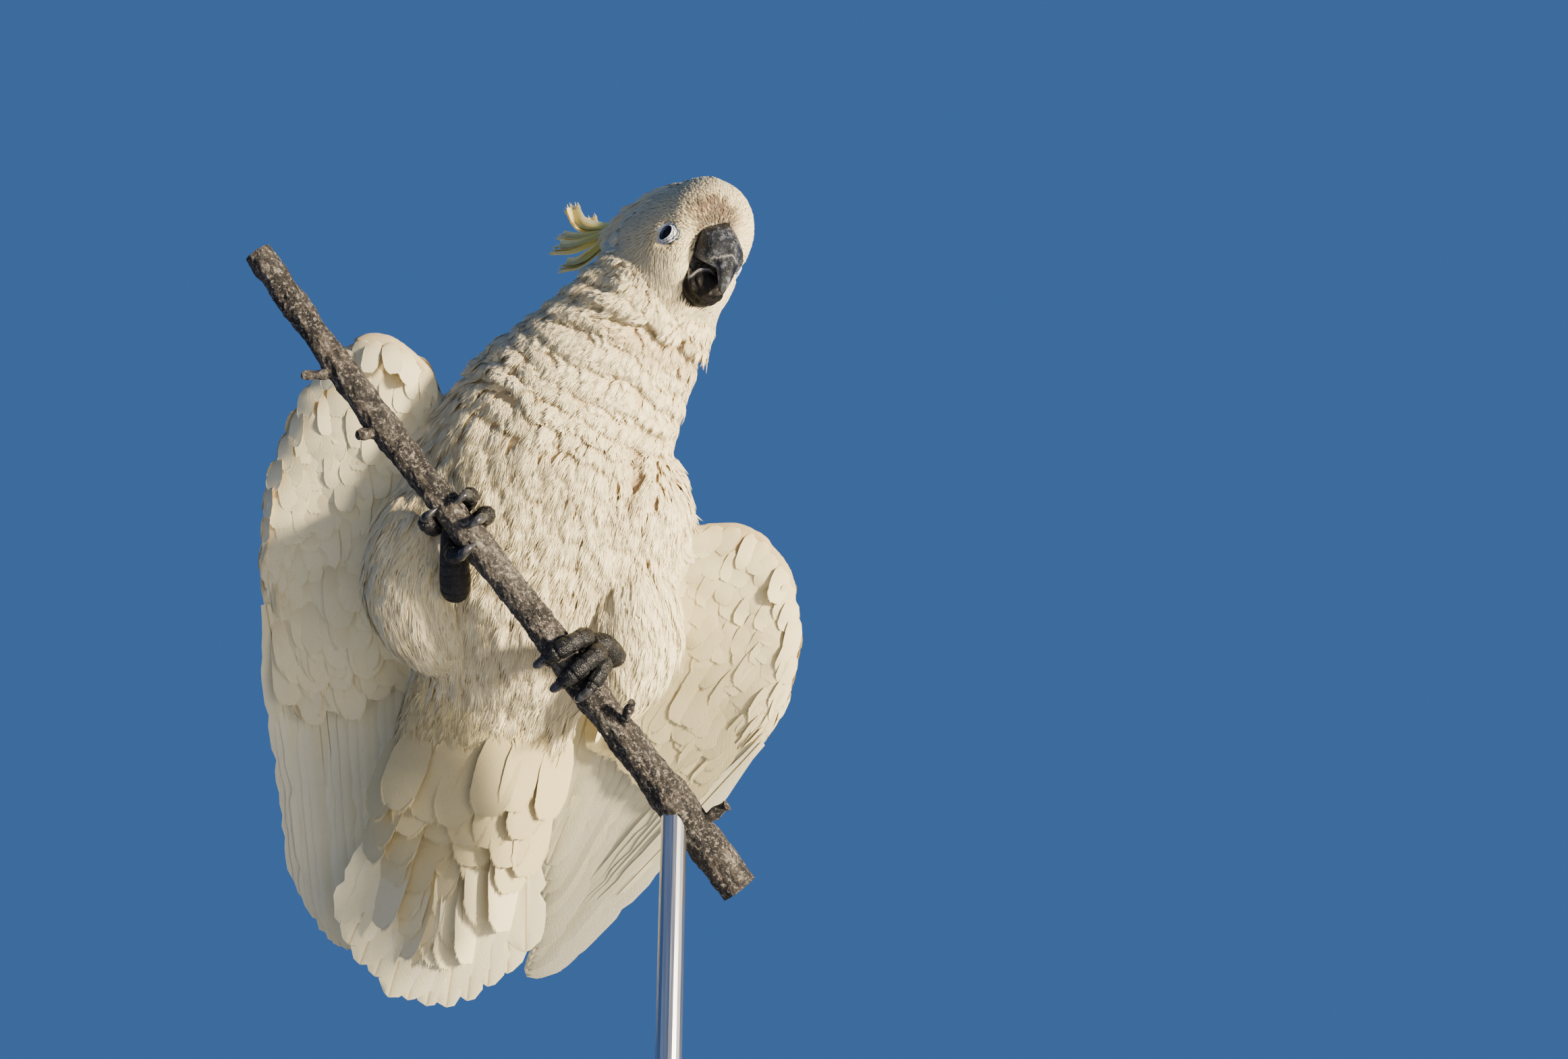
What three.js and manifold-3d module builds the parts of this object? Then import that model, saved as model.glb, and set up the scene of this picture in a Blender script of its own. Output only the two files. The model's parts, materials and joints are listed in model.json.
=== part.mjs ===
// A sulphur-crested cockatoo, life size, as a still museum model: it grips a steep cut length of branch
// with its wings half lifted and looks down over its left shoulder. A disc and one rod hold the perch.
//
// Units are millimetres and +Z is up. The bird is laid out in its own upright frame, with x to its left,
// y from breast to back and z from tail to crown, and the whole frame then leans forward over the perch.
import * as THREE from "three";
import { mergeVertices } from "three/addons/utils/BufferGeometryUtils.js";
import Module from "manifold-3d";

const wasm = await Module();
wasm.setup();

// Driving dimensions
const LEAN = THREE.MathUtils.degToRad(28);
const BIRD_AT = new THREE.Vector3(-4, -24, 556);
const GAP = 0.35;
const BASE_RADIUS = 150;
const BASE_HEIGHT = 18;
const ROD_RADIUS = 6;
const COLLAR_RADIUS = 17;
const COLLAR_HEIGHT = 10;
const VANE = 0.9;

const at = (x, y, z) => new THREE.Vector3(x, y, z);
const mix = (a, b, t) => a.clone().lerp(b, t);

// ---------------------------------------------------------------- solids

function toSolid(geometry, tolerance = 1e-4) {
  const bare = geometry.clone();
  for (const name of ["normal", "uv"]) bare.deleteAttribute(name);
  const merged = mergeVertices(bare, tolerance);
  const solid = new wasm.Manifold(
    new wasm.Mesh({
      numProp: 3,
      vertProperties: merged.attributes.position.array,
      triVerts: new Uint32Array(merged.index.array),
    }),
  );
  return solid;
}

function toGeometry(solid) {
  const mesh = solid.getMesh();
  const geometry = new THREE.BufferGeometry();
  geometry.setAttribute("position", new THREE.BufferAttribute(mesh.vertProperties, 3));
  geometry.setIndex(new THREE.BufferAttribute(mesh.triVerts, 1));
  geometry.computeVertexNormals();
  return geometry;
}

const join = (solids) => solids.reduce((whole, next) => whole.add(next));

const largest = (solid) => solid.decompose().sort((a, b) => b.volume() - a.volume())[0];

// What is left of a solid without its neighbours: the largest piece, free of slivers.
const without = (solid, ...neighbours) =>
  largest(neighbours.reduce((left, next) => left.subtract(next), solid));

// Edges far shorter than any feature are drawn in, and what that pinches off goes.
const settled = (solid) => largest(toSolid(toGeometry(solid.simplify(0.05)), 1e-3));

// A closed rounded form along a spine. Its stations are evenly spaced along the spine, width and depth
// are half sizes at each, side is the direction of the width, and swell makes it that much fatter.
function limb({ spine, width, depth, side, around = 12, along = 10, swell = 0, pace = (t) => t }) {
  const curve = new THREE.CatmullRomCurve3(spine);
  const widthAt = profile(width);
  const depthAt = profile(depth);
  const geometry = new THREE.SphereGeometry(1, around, along);
  const position = geometry.getAttribute("position");
  for (let i = 0; i < position.count; i++) {
    const unit = new THREE.Vector3().fromBufferAttribute(position, i);
    const isPole = Math.abs(unit.y) > 0.99999;
    const t = isPole ? (unit.y > 0 ? 0 : 1) : pace(Math.acos(unit.y) / Math.PI);
    const tangent = curve.getTangent(t);
    const hint = typeof side === "function" ? side(t) : side;
    const across = hint.clone().addScaledVector(tangent, -hint.dot(tangent)).normalize();
    const through = tangent.clone().cross(across);
    const point = curve.getPoint(t);
    if (isPole) {
      point.addScaledVector(tangent, unit.y > 0 ? -swell : swell);
    } else {
      const angle = Math.atan2(unit.z, unit.x);
      point.addScaledVector(across, Math.cos(angle) * (widthAt(t) + swell));
      point.addScaledVector(through, Math.sin(angle) * (depthAt(t) + swell));
    }
    position.setXYZ(i, point.x, point.y, point.z);
  }
  const solid = toSolid(geometry);
  return solid.volume() < 0 ? toSolid(turned(geometry)) : solid;
}

function turned(geometry) {
  const index = geometry.getIndex();
  for (let i = 0; i < index.count; i += 3) {
    const first = index.getX(i);
    index.setX(i, index.getX(i + 1));
    index.setX(i + 1, first);
  }
  return geometry;
}

// A closed rounded form between two lines in its own plane of symmetry, such as a bill's ridge and edge.
function between({ outer, inner, width, around = 14, along = 12, swell = 0 }) {
  const outerLine = new THREE.CatmullRomCurve3(outer);
  const innerLine = new THREE.CatmullRomCurve3(inner);
  const widthAt = profile(width);
  const geometry = new THREE.SphereGeometry(1, around, along);
  const position = geometry.getAttribute("position");
  for (let i = 0; i < position.count; i++) {
    const unit = new THREE.Vector3().fromBufferAttribute(position, i);
    const isPole = Math.abs(unit.y) > 0.99999;
    const t = isPole ? (unit.y > 0 ? 0 : 1) : Math.acos(unit.y) / Math.PI;
    const ridge = outerLine.getPoint(t);
    const edge = innerLine.getPoint(t);
    const point = mix(edge, ridge, 0.5);
    const middle = (u) => mix(innerLine.getPoint(u), outerLine.getPoint(u), 0.5);
    const tangent = middle(Math.min(t + 0.02, 1)).sub(middle(Math.max(t - 0.02, 0))).normalize();
    const through = ridge.clone().sub(edge);
    const half = through.length() / 2;
    through.normalize();
    const across = tangent.clone().cross(through).normalize();
    if (isPole) {
      point.addScaledVector(tangent, unit.y > 0 ? -swell : swell);
    } else {
      const angle = Math.atan2(unit.z, unit.x);
      point.addScaledVector(across, Math.cos(angle) * (widthAt(t) + swell));
      point.addScaledVector(through, Math.sin(angle) * (half + swell));
    }
    position.setXYZ(i, point.x, point.y, point.z);
  }
  const solid = toSolid(geometry);
  return solid.volume() < 0 ? toSolid(turned(geometry)) : solid;
}

// A smooth curve through evenly spaced values.
function profile(values) {
  const curve = new THREE.CatmullRomCurve3(values.map((value, i) => at(i, value, 0)));
  return (t) => Math.max(curve.getPoint(t).y, 0.05);
}

// One feather as a thin blade from root to tip: bow bends it in its own plane, camber out of it.
function blade({ root, tip, face, width, thick = VANE, bow = 0, camber = 0, blunt = 0.5, swell = 0, along = 5 }) {
  const run = tip.clone().sub(root).normalize();
  const across = run.clone().cross(face).normalize();
  const middle = mix(root, tip, 0.5).addScaledVector(across, bow).addScaledVector(face, camber);
  return limb({
    spine: [root, middle, tip],
    width: [0.45 * width, 0.8 * width, width, width, blunt * width],
    depth: [thick, thick, thick, thick, 0.6 * thick],
    side: across,
    around: 4,
    along,
    swell,
    pace: (t) => 1 - (1 - t) ** 1.35,
  });
}

// ---------------------------------------------------------------- body and neck

// One run of stations from the pelvis to the inside of the head, parted at the base of the neck.
const BODY = {
  spine: [
    at(-19, 12, -92),
    at(-11, 8, -55),
    at(-3, 3, -18),
    at(6, 1, 14),
    at(12, -1, 42),
    at(21, -5, 66),
    at(34, -9, 85),
    at(50, -14, 107),
    at(65, -18, 127),
    at(76, -20, 142),
  ],
  width: [22, 52, 69, 75, 69, 57, 48, 39.5, 34, 25],
  depth: [18, 40, 47, 49, 50, 46, 41, 35, 31, 22],
};
const NECK_BASE = at(20, -7, 68);
const NECK_AXIS = at(0.42, -0.1, 0.9).normalize();

const bodyRun = (swell = 0) => limb({ ...BODY, side: at(1, 0, 0), around: 18, along: 16, swell });

// Everything on the far side of a plane, as one large box.
function halfSpace(point, normal) {
  const size = 600;
  const box = new THREE.BoxGeometry(size, size, size).translate(0, 0, size / 2);
  const turn = new THREE.Quaternion().setFromUnitVectors(at(0, 0, 1), normal);
  box.applyQuaternion(turn).translate(point.x, point.y, point.z);
  return toSolid(box);
}

const towardsHead = halfSpace(NECK_BASE, NECK_AXIS);
const towardsTail = halfSpace(
  NECK_BASE.clone().addScaledVector(NECK_AXIS, GAP),
  NECK_AXIS.clone().negate(),
);

// ---------------------------------------------------------------- head

// The head's own axes: forwards to the bill, up to the crown and out to its right side.
const HEAD_CENTRE = at(75.5, -20, 143);
const FORWARD = at(0.66, -0.68, 0.32).normalize();
const CROWNWARD = at(0.059, 0.471, 0.88).addScaledVector(FORWARD, -0.0003).normalize();
const RIGHTWARD = FORWARD.clone().cross(CROWNWARD).normalize();

const inHead = (forward, up, right = 0) =>
  HEAD_CENTRE.clone()
    .addScaledVector(FORWARD, forward)
    .addScaledVector(CROWNWARD, up)
    .addScaledVector(RIGHTWARD, right);

const inMiddle = ([forward, up]) => inHead(forward, up);

const EYE_RADIUS = 6;
const eyePlace = (sign) => inHead(16.5, -7.4, sign * 22.1);

const skull = (swell = 0) =>
  between({
    outer: [[-46, -2], [-44, 16], [-30, 31], [-8, 37], [14, 37], [30, 30], [39, 17], [37, 7]].map(inMiddle),
    inner: [[-42, -12], [-37, -24], [-25, -33], [-8, -38], [5, -38.5], [14, -33], [19.5, -16.5], [24, -4]].map(inMiddle),
    width: [14, 25, 30, 31.5, 29.5, 26, 19, 9],
    around: 14,
    along: 12,
    swell,
  });

function eye(sign, swell = 0) {
  const centre = eyePlace(sign);
  const ball = new THREE.SphereGeometry(EYE_RADIUS + swell, 12, 8);
  return toSolid(ball.translate(centre.x, centre.y, centre.z));
}

// The hooked upper mandible and the scoop of the lower one, each between its ridge and its cutting edge.
const upperBill = (swell = 0) =>
  between({
    outer: [[22, 7], [31, 4], [37, -3], [40, -12], [41, -21], [39.8, -30], [35, -37.5]].map(inMiddle),
    inner: [[13, -9], [18.5, -14], [24, -18.5], [28.5, -22], [31.8, -25], [33, -30], [33.6, -36]].map(inMiddle),
    width: [8, 11, 11.6, 10, 7, 4.2, 1.2],
    around: 12,
    along: 11,
    swell,
  });

const lowerBill = (swell = 0) =>
  between({
    outer: [[4, -29], [9.5, -37], [16.5, -40.5], [23, -38.5], [28, -30]].map(inMiddle),
    inner: [[10, -20], [15, -20.5], [20, -22], [24, -23.5], [27, -25]].map(inMiddle),
    width: [6.5, 10, 10.8, 9.4, 5.5],
    around: 12,
    along: 8,
    swell,
  });

// The folded crest lies back along the crown past the nape, and its yellow blades curl up behind.
const CREST_BLADES = [
  { root: [-50, 37, 3], bend: [-85, 55, 5], tip: [-98, 77, 6], half: 5.5 },
  { root: [-50, 37, -3], bend: [-82, 53, -3], tip: [-94, 71, -4], half: 5 },
  { root: [-50, 35, 6], bend: [-84, 46, 7], tip: [-106, 60, 6], half: 3.6 },
  { root: [-50, 33, 8], bend: [-82, 38, 9], tip: [-101, 46, 11], half: 5 },
  { root: [-50, 31, 8], bend: [-72, 23, 11], tip: [-87, 27, 13], half: 4.6 },
];

function crest() {
  const bundle = limb({
    spine: [inHead(14, 33), inHead(-6, 37.5), inHead(-28, 38), inHead(-50, 36), inHead(-70, 34)],
    width: [6, 12, 13, 11, 6],
    depth: [2.5, 6, 7, 6.5, 4],
    side: RIGHTWARD,
    around: 10,
    along: 8,
  });
  const blades = CREST_BLADES.map(({ root, bend, tip, half }) =>
    limb({
      spine: [inHead(...root), inHead(...bend), inHead(...tip)],
      width: [0.6 * half, half, half, 0.6 * half],
      depth: [1.2, 1.6, 1.4, VANE],
      side: RIGHTWARD,
      around: 6,
      along: 7,
    }),
  );
  return join([bundle, ...blades]);
}

// ---------------------------------------------------------------- legs and perch

const thighs = {
  right: {
    spine: [at(-30, -8, 34), at(-46, -13, 8), at(-51, -17, -18), at(-45, -21, -42), at(-41, -24, -56)],
    width: [16, 29, 29, 21, 8],
    depth: [16, 25, 24, 17, 7],
  },
  left: {
    spine: [at(32, -8, 12), at(43, -13, -14), at(48, -18, -42), at(46, -22, -66), at(44, -24, -80)],
    width: [16, 26, 25, 17, 7],
    depth: [16, 24, 22, 15, 6],
  },
};
const thigh = (name, swell = 0) => limb({ ...thighs[name], side: at(1, 0, 0), around: 14, along: 10, swell });

const PERCH_Y = -63;
const PERCH_LINE = [
  at(-122, PERCH_Y, 139),
  at(-97, PERCH_Y, 104),
  at(-58, PERCH_Y, 51),
  at(-27, PERCH_Y, 12),
  at(8, PERCH_Y, -32),
  at(42, PERCH_Y, -78),
  at(72, PERCH_Y, -117),
  at(103, PERCH_Y, -158),
];
const PERCH_RADII = [6.4, 6.8, 7.2, 7.2, 7.7, 8.2, 8.9, 9.6];
const PERCH_STUBS = [
  { station: 0.2, out: at(-0.8, -0.3, -0.1), length: 13, radius: 2.6 },
  { station: 0.27, out: at(-0.7, -0.5, -0.2), length: 8, radius: 3.4 },
  { station: 0.74, out: at(0.3, -0.75, 0.75), length: 15, radius: 2.6 },
  { station: 0.9, out: at(0.75, -0.3, 0.5), length: 12, radius: 3.2 },
];

// A bent cylinder keeps the flat sawn ends that a rounded limb would lose.
function perch(swell = 0) {
  const curve = new THREE.CatmullRomCurve3(PERCH_LINE);
  const radiusAt = profile(PERCH_RADII);
  const steps = 18;
  const geometry = new THREE.CylinderGeometry(1, 1, 1, 10, steps);
  const position = geometry.getAttribute("position");
  for (let i = 0; i < position.count; i++) {
    const t = position.getY(i) + 0.5;
    const tangent = curve.getTangent(t);
    const across = at(0, 1, 0).addScaledVector(tangent, -tangent.y).normalize();
    const through = tangent.clone().cross(across);
    const knobs = 1 + 0.05 * Math.sin(31 * t) + 0.03 * Math.sin(67 * t + 1);
    const reach = Math.hypot(position.getX(i), position.getZ(i)) * (radiusAt(t) * knobs + swell);
    const angle = Math.atan2(position.getZ(i), position.getX(i));
    const point = curve.getPoint(t);
    point.addScaledVector(across, Math.cos(angle) * reach);
    point.addScaledVector(through, Math.sin(angle) * reach);
    position.setXYZ(i, point.x, point.y, point.z);
  }
  const solid = toSolid(geometry);
  const wood = solid.volume() < 0 ? toSolid(turned(geometry)) : solid;
  if (swell) return wood;
  const stubs = PERCH_STUBS.map(({ station, out, length, radius }) => {
    const foot = curve.getPoint(station);
    const end = foot.clone().addScaledVector(out.clone().normalize(), radiusAt(station) + length);
    return limb({
      spine: [foot, end],
      width: [radius, 0.9 * radius, 0.8 * radius],
      depth: [radius, 0.9 * radius, 0.8 * radius],
      side: at(0, 0, 1),
      around: 7,
      along: 4,
    });
  });
  return join([wood, ...stubs]);
}

// A toe winds round the perch. Angles run from its upper left side (0), as the bird sees it, over the
// side away from the belly (90), to its lower right side (180) and the belly's own side (270).
const PERCH_RUN = at(0.615, 0, -0.788).normalize();
const PERCH_RISE = at(0.788, 0, 0.615).normalize();

function roundPerch(centre, degrees, distance, slide) {
  const angle = THREE.MathUtils.degToRad(degrees);
  return centre
    .clone()
    .addScaledVector(PERCH_RUN, slide)
    .addScaledVector(PERCH_RISE, Math.cos(angle) * distance)
    .addScaledVector(at(0, -1, 0), Math.sin(angle) * distance);
}

const TOE_STEPS = 5;
const CLAW_SWEEP = 46;

function toe({ centre, from, to, start, end, thick, grip = 7.9 }) {
  const turn = Math.sign(to - from);
  const spine = [];
  for (let i = 0; i <= TOE_STEPS; i++) {
    const t = i / TOE_STEPS;
    const slide = start + (end - start) * t;
    spine.push(roundPerch(centre, from + (to - from) * t, grip + thick * (1 - 0.2 * t), slide));
  }
  const pads = limb({
    spine,
    width: [thick, 1.05 * thick, 0.9 * thick, 0.95 * thick, 0.85 * thick, 0.6 * thick],
    depth: [thick, 1.05 * thick, 0.9 * thick, 0.95 * thick, 0.85 * thick, 0.6 * thick],
    side: PERCH_RUN,
    around: 7,
    along: 7,
  });
  const reach = grip + 0.8 * thick;
  const claw = limb({
    spine: [
      roundPerch(centre, to - turn * 12, reach, end),
      roundPerch(centre, to + turn * 0.45 * CLAW_SWEEP, reach + 1.6, end),
      roundPerch(centre, to + turn * CLAW_SWEEP, reach - 1.2, end),
    ],
    width: [2.7, 2.2, 0.5],
    depth: [2.9, 2.4, 0.5],
    side: PERCH_RUN,
    around: 5,
    along: 5,
  });
  return pads.add(claw);
}

// The right foot grips from below and behind: its two front toes come over the top, its hind toes under.
const FEET = {
  right: {
    centre: at(-27, PERCH_Y, 12),
    toes: [
      { from: 232, to: 382, start: -6, end: -9, thick: 4.6 },
      { from: 232, to: 394, start: 2, end: 4, thick: 4.9 },
      { from: 214, to: 152, start: -7, end: -12, thick: 4.6 },
      { from: 214, to: 128, start: 6, end: 12, thick: 4.2 },
    ],
    shank: [at(-31, -52, 10), at(-32, -50, -2), at(-32, -47, -15), at(-33, -42, -25)],
    shankHalf: [7, 6.8, 7.4, 6],
  },
  left: {
    centre: at(24, PERCH_Y, -53),
    toes: [
      { from: -22, to: 128, start: -5, end: -9, thick: 4.8 },
      { from: -22, to: 134, start: 4, end: 4.5, thick: 5 },
      { from: -30, to: -110, start: -5, end: -6, thick: 4.4 },
      { from: -12, to: 92, start: 9, end: 15, thick: 4.2 },
    ],
    shank: [at(32, -56, -45), at(37, -50, -45), at(41, -44, -49), at(44, -36, -54)],
    shankHalf: [7, 7, 6.8, 6],
  },
};

const foot = (name) => {
  const { centre, toes, shank, shankHalf } = FEET[name];
  const shin = limb({
    spine: shank,
    width: shankHalf,
    depth: shankHalf.map((half) => 0.85 * half),
    side: at(1, 0, 0),
    around: 10,
    along: 8,
  });
  return join([shin, ...toes.map((shape) => toe({ centre, ...shape }))]);
};

// ---------------------------------------------------------------- tail

const RECTRICES = 8;
const TAIL_ROOT = at(-22, 20, -72);
const TAIL_LENGTH = 174;
const TAIL_BEARING = THREE.MathUtils.degToRad(15);
const TAIL_SPREAD = THREE.MathUtils.degToRad(26);
const TAIL_RAKE = 0.185;

function tail(swell = 0) {
  const vanes = [];
  for (let i = 0; i < RECTRICES; i++) {
    const place = i / (RECTRICES - 1) - 0.5;
    const bearing = -TAIL_BEARING + place * TAIL_SPREAD;
    const length = TAIL_LENGTH * (1 - 0.2 * Math.abs(2 * place) ** 1.8);
    const away = at(Math.sin(bearing), TAIL_RAKE, -Math.cos(bearing)).normalize();
    const stack = 1.1 * Math.abs(2 * place);
    const root = TAIL_ROOT.clone().add(at(36 * place, -stack, 0));
    vanes.push(
      blade({
        root,
        tip: root.clone().addScaledVector(away, length),
        face: at(0, -1, 0),
        width: 13,
        blunt: 0.85,
        camber: -2 + 4 * Math.abs(place),
        swell,
        along: 6,
      }),
    );
  }
  return join(vanes);
}

const tailCoverts = (swell = 0) =>
  limb({
    spine: [at(-10, 2, -44), at(-22, 9, -78), at(-33, 17, -112), at(-41, 28, -144), at(-46, 34, -166)],
    width: [36, 42, 40, 30, 12],
    depth: [28, 26, 15, 7, 1.5],
    side: at(1, 0, 0),
    around: 14,
    along: 10,
    swell,
  });

// ---------------------------------------------------------------- wings

// Each wing has three lines from the shoulder or elbow out to the end of the hand: its leading edge,
// the far edge of its coverts, and the tips of its flight feathers.
const WINGS = {
  left: {
    lead: [at(50, -6, 8), at(85, -9, 16), at(115, -10, 10), at(131, -7, -17), at(131, 0, -53), at(120, 12, -86)],
    covers: [at(34, 26, -60), at(50, 28, -76), at(66, 28, -88), at(82, 28, -98), at(94, 27, -104), at(104, 24, -102)],
    tips: [at(6, 60, -142), at(-2, 76, -172), at(-7, 94, -198), at(-11, 109, -218), at(-15, 121, -231), at(-8, 124, -228)],
    bow: 0,
    armHalf: [11, 13, 13, 12, 10, 7],
  },
  right: {
    lead: [at(-37, -6, 62), at(-55, -12, 98), at(-80, -12, 109), at(-106, -6, 90), at(-129, 2, 46), at(-138, 10, -10)],
    covers: [at(-52, 26, -14), at(-66, 26, -34), at(-82, 26, -44), at(-98, 26, -50), at(-112, 26, -52), at(-130, 22, -46)],
    tips: [at(-60, 54, -122), at(-68, 62, -154), at(-82, 70, -186), at(-98, 77, -211), at(-113, 80, -206), at(-127, 78, -178)],
    bow: -10,
    armHalf: [11, 14, 15, 13, 10, 7],
  },
};
const SECONDARIES = 5;
const PRIMARIES = 6;
const HAND_STARTS = 0.5;

function wingLines({ lead, covers, tips }) {
  return {
    lead: new THREE.CatmullRomCurve3(lead),
    covers: new THREE.CatmullRomCurve3(covers),
    tips: new THREE.CatmullRomCurve3(tips),
  };
}

const wingArm = (name, swell = 0) =>
  between({
    outer: WINGS[name].lead,
    inner: WINGS[name].covers,
    width: WINGS[name].armHalf,
    around: 14,
    along: 12,
    swell,
  });

// The flight feathers between two places along the span, each laid a little breastwards of the last.
function flightFeathers(name, from, to, count, swell = 0) {
  const shape = WINGS[name];
  const { lead, covers, tips } = wingLines(shape);
  const spacing = tips.getPoint(from).distanceTo(tips.getPoint(to)) / (count - 1);
  const vanes = [];
  for (let i = 0; i < count; i++) {
    const t = from + ((to - from) * i) / (count - 1);
    const root = mix(lead.getPoint(t), covers.getPoint(t), 0.42);
    const tip = tips.getPoint(t);
    const span = covers.getTangent(t);
    const face = tip.clone().sub(root).cross(span).normalize();
    if (face.y > 0) face.negate();
    root.addScaledVector(face, 0.8 * i - 2);
    tip.addScaledVector(face, 1.1 * i - 3);
    vanes.push(
      blade({
        root,
        tip,
        face,
        width: Math.max(0.95 * spacing, 9),
        bow: shape.bow * t,
        camber: 3,
        swell,
      }),
    );
  }
  return join(vanes);
}

const secondaries = (name, swell = 0) => flightFeathers(name, 0, HAND_STARTS, SECONDARIES, swell);
const primaries = (name, swell = 0) => flightFeathers(name, HAND_STARTS + 0.08, 1, PRIMARIES, swell);

// ---------------------------------------------------------------- fitting the parts together

const wood = perch();
const woodCut = perch(GAP);
const skullCut = skull(GAP);
const upperCut = upperBill(GAP);
const lowerCut = lowerBill(GAP);
const bodyCut = bodyRun(GAP);

const parts = new Map();
parts.set("perch", wood);
parts.set("trunk", without(bodyRun(), towardsHead, woodCut));
parts.set("neck", without(bodyRun(), towardsTail, skullCut, upperCut, lowerCut));
parts.set("beak_upper", upperBill());
parts.set("beak_lower", without(lowerBill(), upperCut));
parts.set("head", without(skull(), upperCut, lowerCut, eye(1, GAP), eye(-1, GAP)));
parts.set("crest", without(crest(), skullCut, bodyCut));
for (const [name, sign] of [
  ["right", 1],
  ["left", -1],
]) {
  parts.set(`eye_${name}`, eye(sign));
  parts.set(`thigh_${name}`, without(thigh(name), bodyCut, woodCut));
}
const thighCuts = [thigh("right", GAP), thigh("left", GAP)];
for (const name of ["right", "left"]) parts.set(`foot_${name}`, without(foot(name), bodyCut, woodCut, ...thighCuts));

parts.set("tail_coverts", without(tailCoverts(), bodyCut, ...thighCuts));
const rumpCuts = [bodyCut, tailCoverts(GAP), ...thighCuts];
parts.set("tail", without(tail(), ...rumpCuts));
const tailCut = tail(GAP);
for (const name of ["right", "left"]) {
  const inner = without(secondaries(name), tailCut, ...rumpCuts);
  const innerCut = secondaries(name, GAP);
  const outer = without(primaries(name), innerCut, tailCut, ...rumpCuts);
  parts.set(`wing_${name}_secondaries`, inner);
  parts.set(`wing_${name}_primaries`, outer);
  parts.set(`wing_${name}_arm`, without(wingArm(name), innerCut, primaries(name, GAP), tailCut, ...rumpCuts));
}

// ---------------------------------------------------------------- display stand

const placement = new THREE.Matrix4().makeRotationX(LEAN).setPosition(BIRD_AT);
const placed = (point) => point.clone().applyMatrix4(placement);

const ROD_FOOT = placed(new THREE.CatmullRomCurve3(PERCH_LINE).getPoint(0.86)).setZ(BASE_HEIGHT);
const ROD_TOP = placed(new THREE.CatmullRomCurve3(PERCH_LINE).getPoint(0.86)).z;

function disc() {
  const outline = [
    new THREE.Vector2(0, 0),
    new THREE.Vector2(BASE_RADIUS - 3, 0),
    new THREE.Vector2(BASE_RADIUS, 3),
    new THREE.Vector2(BASE_RADIUS, BASE_HEIGHT - 6),
    new THREE.Vector2(BASE_RADIUS - 2, BASE_HEIGHT - 2),
    new THREE.Vector2(BASE_RADIUS - 6, BASE_HEIGHT),
    new THREE.Vector2(0, BASE_HEIGHT),
  ];
  return new THREE.LatheGeometry(outline, 40).rotateX(Math.PI / 2);
}

function rod() {
  const height = ROD_TOP - BASE_HEIGHT;
  const column = new THREE.CylinderGeometry(ROD_RADIUS, ROD_RADIUS, height, 20).rotateX(Math.PI / 2);
  column.translate(ROD_FOOT.x, ROD_FOOT.y, BASE_HEIGHT + height / 2);
  return without(toSolid(column), woodCut.transform(placement.elements));
}

function collar() {
  const bore = ROD_RADIUS + GAP;
  const outline = [
    new THREE.Vector2(bore, 0),
    new THREE.Vector2(COLLAR_RADIUS, 0),
    new THREE.Vector2(COLLAR_RADIUS, 3),
    new THREE.Vector2(bore + 4, COLLAR_HEIGHT),
    new THREE.Vector2(bore, COLLAR_HEIGHT),
    new THREE.Vector2(bore, 0),
  ];
  return new THREE.LatheGeometry(outline, 20).rotateX(Math.PI / 2);
}

// ---------------------------------------------------------------- colours and the finished group

const FINISHES = {
  plumage: { color: 0xece5d4, roughness: 0.8, metalness: 0 },
  crestYellow: { color: 0xe6dc72, roughness: 0.75, metalness: 0 },
  horn: { color: 0x35363a, roughness: 0.45, metalness: 0 },
  scaleSkin: { color: 0x232326, roughness: 0.55, metalness: 0 },
  eyeBrown: { color: 0x150b07, roughness: 0.08, metalness: 0 },
  bark: { color: 0x6d6052, roughness: 0.9, metalness: 0 },
  baseWood: { color: 0x3a2d24, roughness: 0.5, metalness: 0 },
  steel: { color: 0x8d9095, roughness: 0.35, metalness: 1 },
};
const FINISH_OF = {
  crest: "crestYellow",
  beak_upper: "horn",
  beak_lower: "horn",
  eye_left: "eyeBrown",
  eye_right: "eyeBrown",
  foot_left: "scaleSkin",
  foot_right: "scaleSkin",
  perch: "bark",
};

function meshOf(name, geometry, finish) {
  const mesh = new THREE.Mesh(geometry, new THREE.MeshStandardMaterial(FINISHES[finish]));
  mesh.name = name;
  return mesh;
}

const cockatoo = new THREE.Group();
for (const [name, solid] of parts) {
  const stood = settled(solid.transform(placement.elements));
  cockatoo.add(meshOf(name, toGeometry(stood), FINISH_OF[name] ?? "plumage"));
}
cockatoo.add(meshOf("stand_base", disc(), "baseWood"));
cockatoo.add(meshOf("stand_rod", toGeometry(rod()), "steel"));
const flange = meshOf("stand_collar", collar(), "steel");
flange.position.set(ROD_FOOT.x, ROD_FOOT.y, BASE_HEIGHT);
cockatoo.add(flange);

export default cockatoo;
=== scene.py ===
"""A sulphur-crested cockatoo gripping a cut branch, as a still life-size model on a plain stand.

Everything is laid out in millimetres in the bird's own upright frame (x to its left, y from breast to
back, z from tail to crown), which leans forward over the perch, as in the part's source.
"""

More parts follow.
